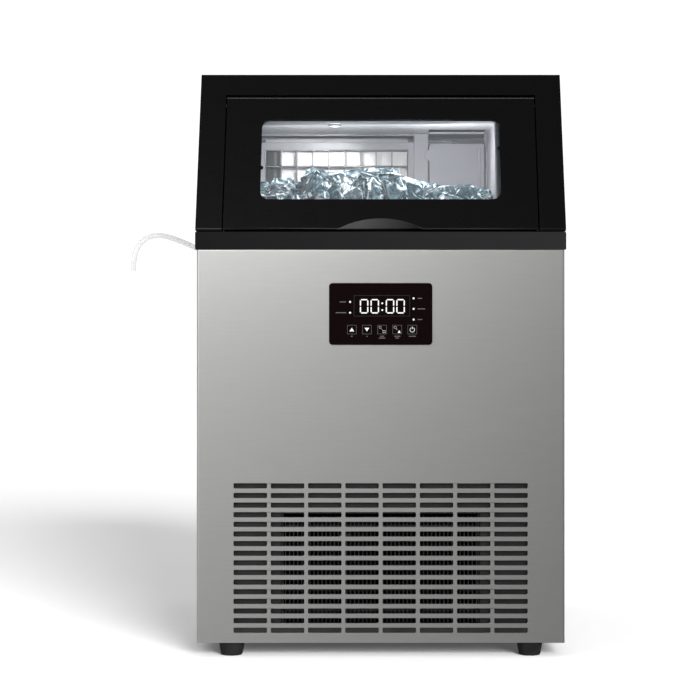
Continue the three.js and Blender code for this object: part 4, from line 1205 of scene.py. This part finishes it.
# Skyline of the heap of ice: x and top, in mm.
HEAP_RIDGE = [
    (-150, 474), (-128, 477), (-100, 481), (-84, 479), (-72, 497), (-45, 490),
    (-28, 498), (4, 499), (22, 488), (35, 479), (100, 477), (115, 464),
    (150, 452),
]
HEAP_FRONT_Y = -141 * MM
HEAP_BACK_Y = 46 * MM
HEAP_RIDGE_Y = -40 * MM
HEAP_WIDTH = 290 * MM
HEAP_LAYERS = 3
LAYER_STEP = 13 * MM
ICE_SHAPES = 14
ICE_PITCH = 20 * MM
ICE_HALF = 12.5 * MM  # half the size of a lump
# Share of a lump's faces and of its rounded edges that are plain, with painted depth, and with painted
# glints.
FACE_LOOKS = (0.55, 0.3, 0.15)
EDGE_LOOKS = (0.25, 0.45, 0.3)


def ridge_height(x):
    points = [(px * MM, pz * MM) for px, pz in HEAP_RIDGE]
    for (x0, z0), (x1, z1) in zip(points, points[1:]):
        if x <= x1:
            share = max(0, (x - x0) / (x1 - x0))
            return z0 + (z1 - z0) * share
    return points[-1][1]


def heap_height(x, y):
    """Height of the heap's surface: it falls away from the ridge, more steeply to the back."""
    fall = 0.16 * max(0, HEAP_RIDGE_Y - y) + 0.34 * max(0, y - HEAP_RIDGE_Y)
    return ridge_height(x) - fall


def ice_shape(draw):
    """One irregular lump of ice: the hull of a cube's jittered corners and a few chips."""
    bm = bmesh.new()
    for sx, sy, sz in product((-1, 1), repeat=3):
        corner = Vector((sx, sy, sz * 0.85)) * ICE_HALF
        for axis in range(3):
            chipped = corner.copy()
            chipped[axis] *= draw.uniform(0.4, 0.92)
            chipped += Vector([draw.uniform(-1, 1) * 1.2 * MM for _ in range(3)])
            bm.verts.new(chipped)
    hull = bmesh.ops.convex_hull(bm, input=bm.verts)
    inside = [v for v in hull["geom_interior"] if isinstance(v, bmesh.types.BMVert)]
    bmesh.ops.delete(bm, geom=inside, context="VERTS")
    bmesh.ops.dissolve_limit(bm, angle_limit=math.radians(6), verts=bm.verts, edges=bm.edges)
    # Faces and rounded edges drawn at random as plain, with painted depth or with painted glints.
    for face in bm.faces:
        face.material_index = draw.choices((0, 1, 2), FACE_LOOKS)[0]
    for face in round_edges(bm, bm.edges[:], 0.7 * MM, clamp=True)["faces"]:
        face.material_index = draw.choices((0, 1, 2), EDGE_LOOKS)[0]
    mesh = bpy.data.meshes.new("ice_shape")
    bm.to_mesh(mesh)
    bm.free()
    return mesh


def make_ice():
    draw = random.Random(7)
    shapes = [ice_shape(draw) for _ in range(ICE_SHAPES)]
    heap = bmesh.new()
    columns = int(300 * MM / ICE_PITCH)
    rows = int((HEAP_BACK_Y - HEAP_FRONT_Y) / ICE_PITCH)
    for layer, i, j in product(range(HEAP_LAYERS), range(columns + 1), range(rows + 1)):
        x = (i / columns - 0.5) * HEAP_WIDTH + draw.uniform(-3, 3) * MM
        y = HEAP_FRONT_Y + j * ICE_PITCH + draw.uniform(-3, 3) * MM
        z = heap_height(x, y) - 10 * MM - layer * LAYER_STEP + draw.uniform(-6, 4) * MM
        turn = Euler([draw.uniform(0, 2 * math.pi) for _ in range(3)]).to_matrix().to_4x4()
        size = Matrix.Scale(draw.uniform(0.82, 1.08), 4)
        shape = draw.choice(shapes)
        if y < behind_doorway(z):
            continue
        start = len(heap.verts)
        heap.from_mesh(shape)
        heap.verts.ensure_lookup_table()
        place = Matrix.Translation((x, y, z)) @ turn @ size
        bmesh.ops.transform(heap, matrix=place, verts=heap.verts[start:])
    for shape in shapes:
        bpy.data.meshes.remove(shape)
    made = finished("ice_heap", heap, "cabinet", "ice", angle=12)
    for look in ("ice_depth", "ice_glint"):
        made.data.materials.append(MATERIALS[look])


# ------------------------------------------------------------------ all of it
# CAD solids whose edges are rounded here, with the radius in millimetres.
ROUNDED = {
    "control_panel": 0.25,
    "pump_cover": 0.5,
    "ice_slide": 0.6,
    "bin_liner": 0.6,
    "drain_cap": 0.5,
    "inlet_elbow": 0.3,
    "back_panel": 0.2,
    "side_panel_left": 0.3,
    "side_panel_right": 0.3,
}


def dress_frame():
    """Gives every CAD node that still shows its own material."""
    for name, node in NODES.items():
        if node.hide_render:
            continue
        node.data.materials.clear()
        node.data.materials.append(MATERIALS[SLOT_OF[name]])


make_camera()
make_tube()
make_floor()
make_world()
make_lights()
make_front_panel()
make_screws()
make_feet()
make_display()
make_indicators()
make_keys()
make_condenser()
make_louvres()
make_hood_and_door()
make_sill_seal()
make_pane_clips()
make_grid()
make_grid_shades()
make_side_guard()
make_lamp()
make_ice()
for node_name, radius in ROUNDED.items():
    refined(node_name, radius * MM)
dress_frame()

bpy.context.scene.view_settings.view_transform = "Standard"
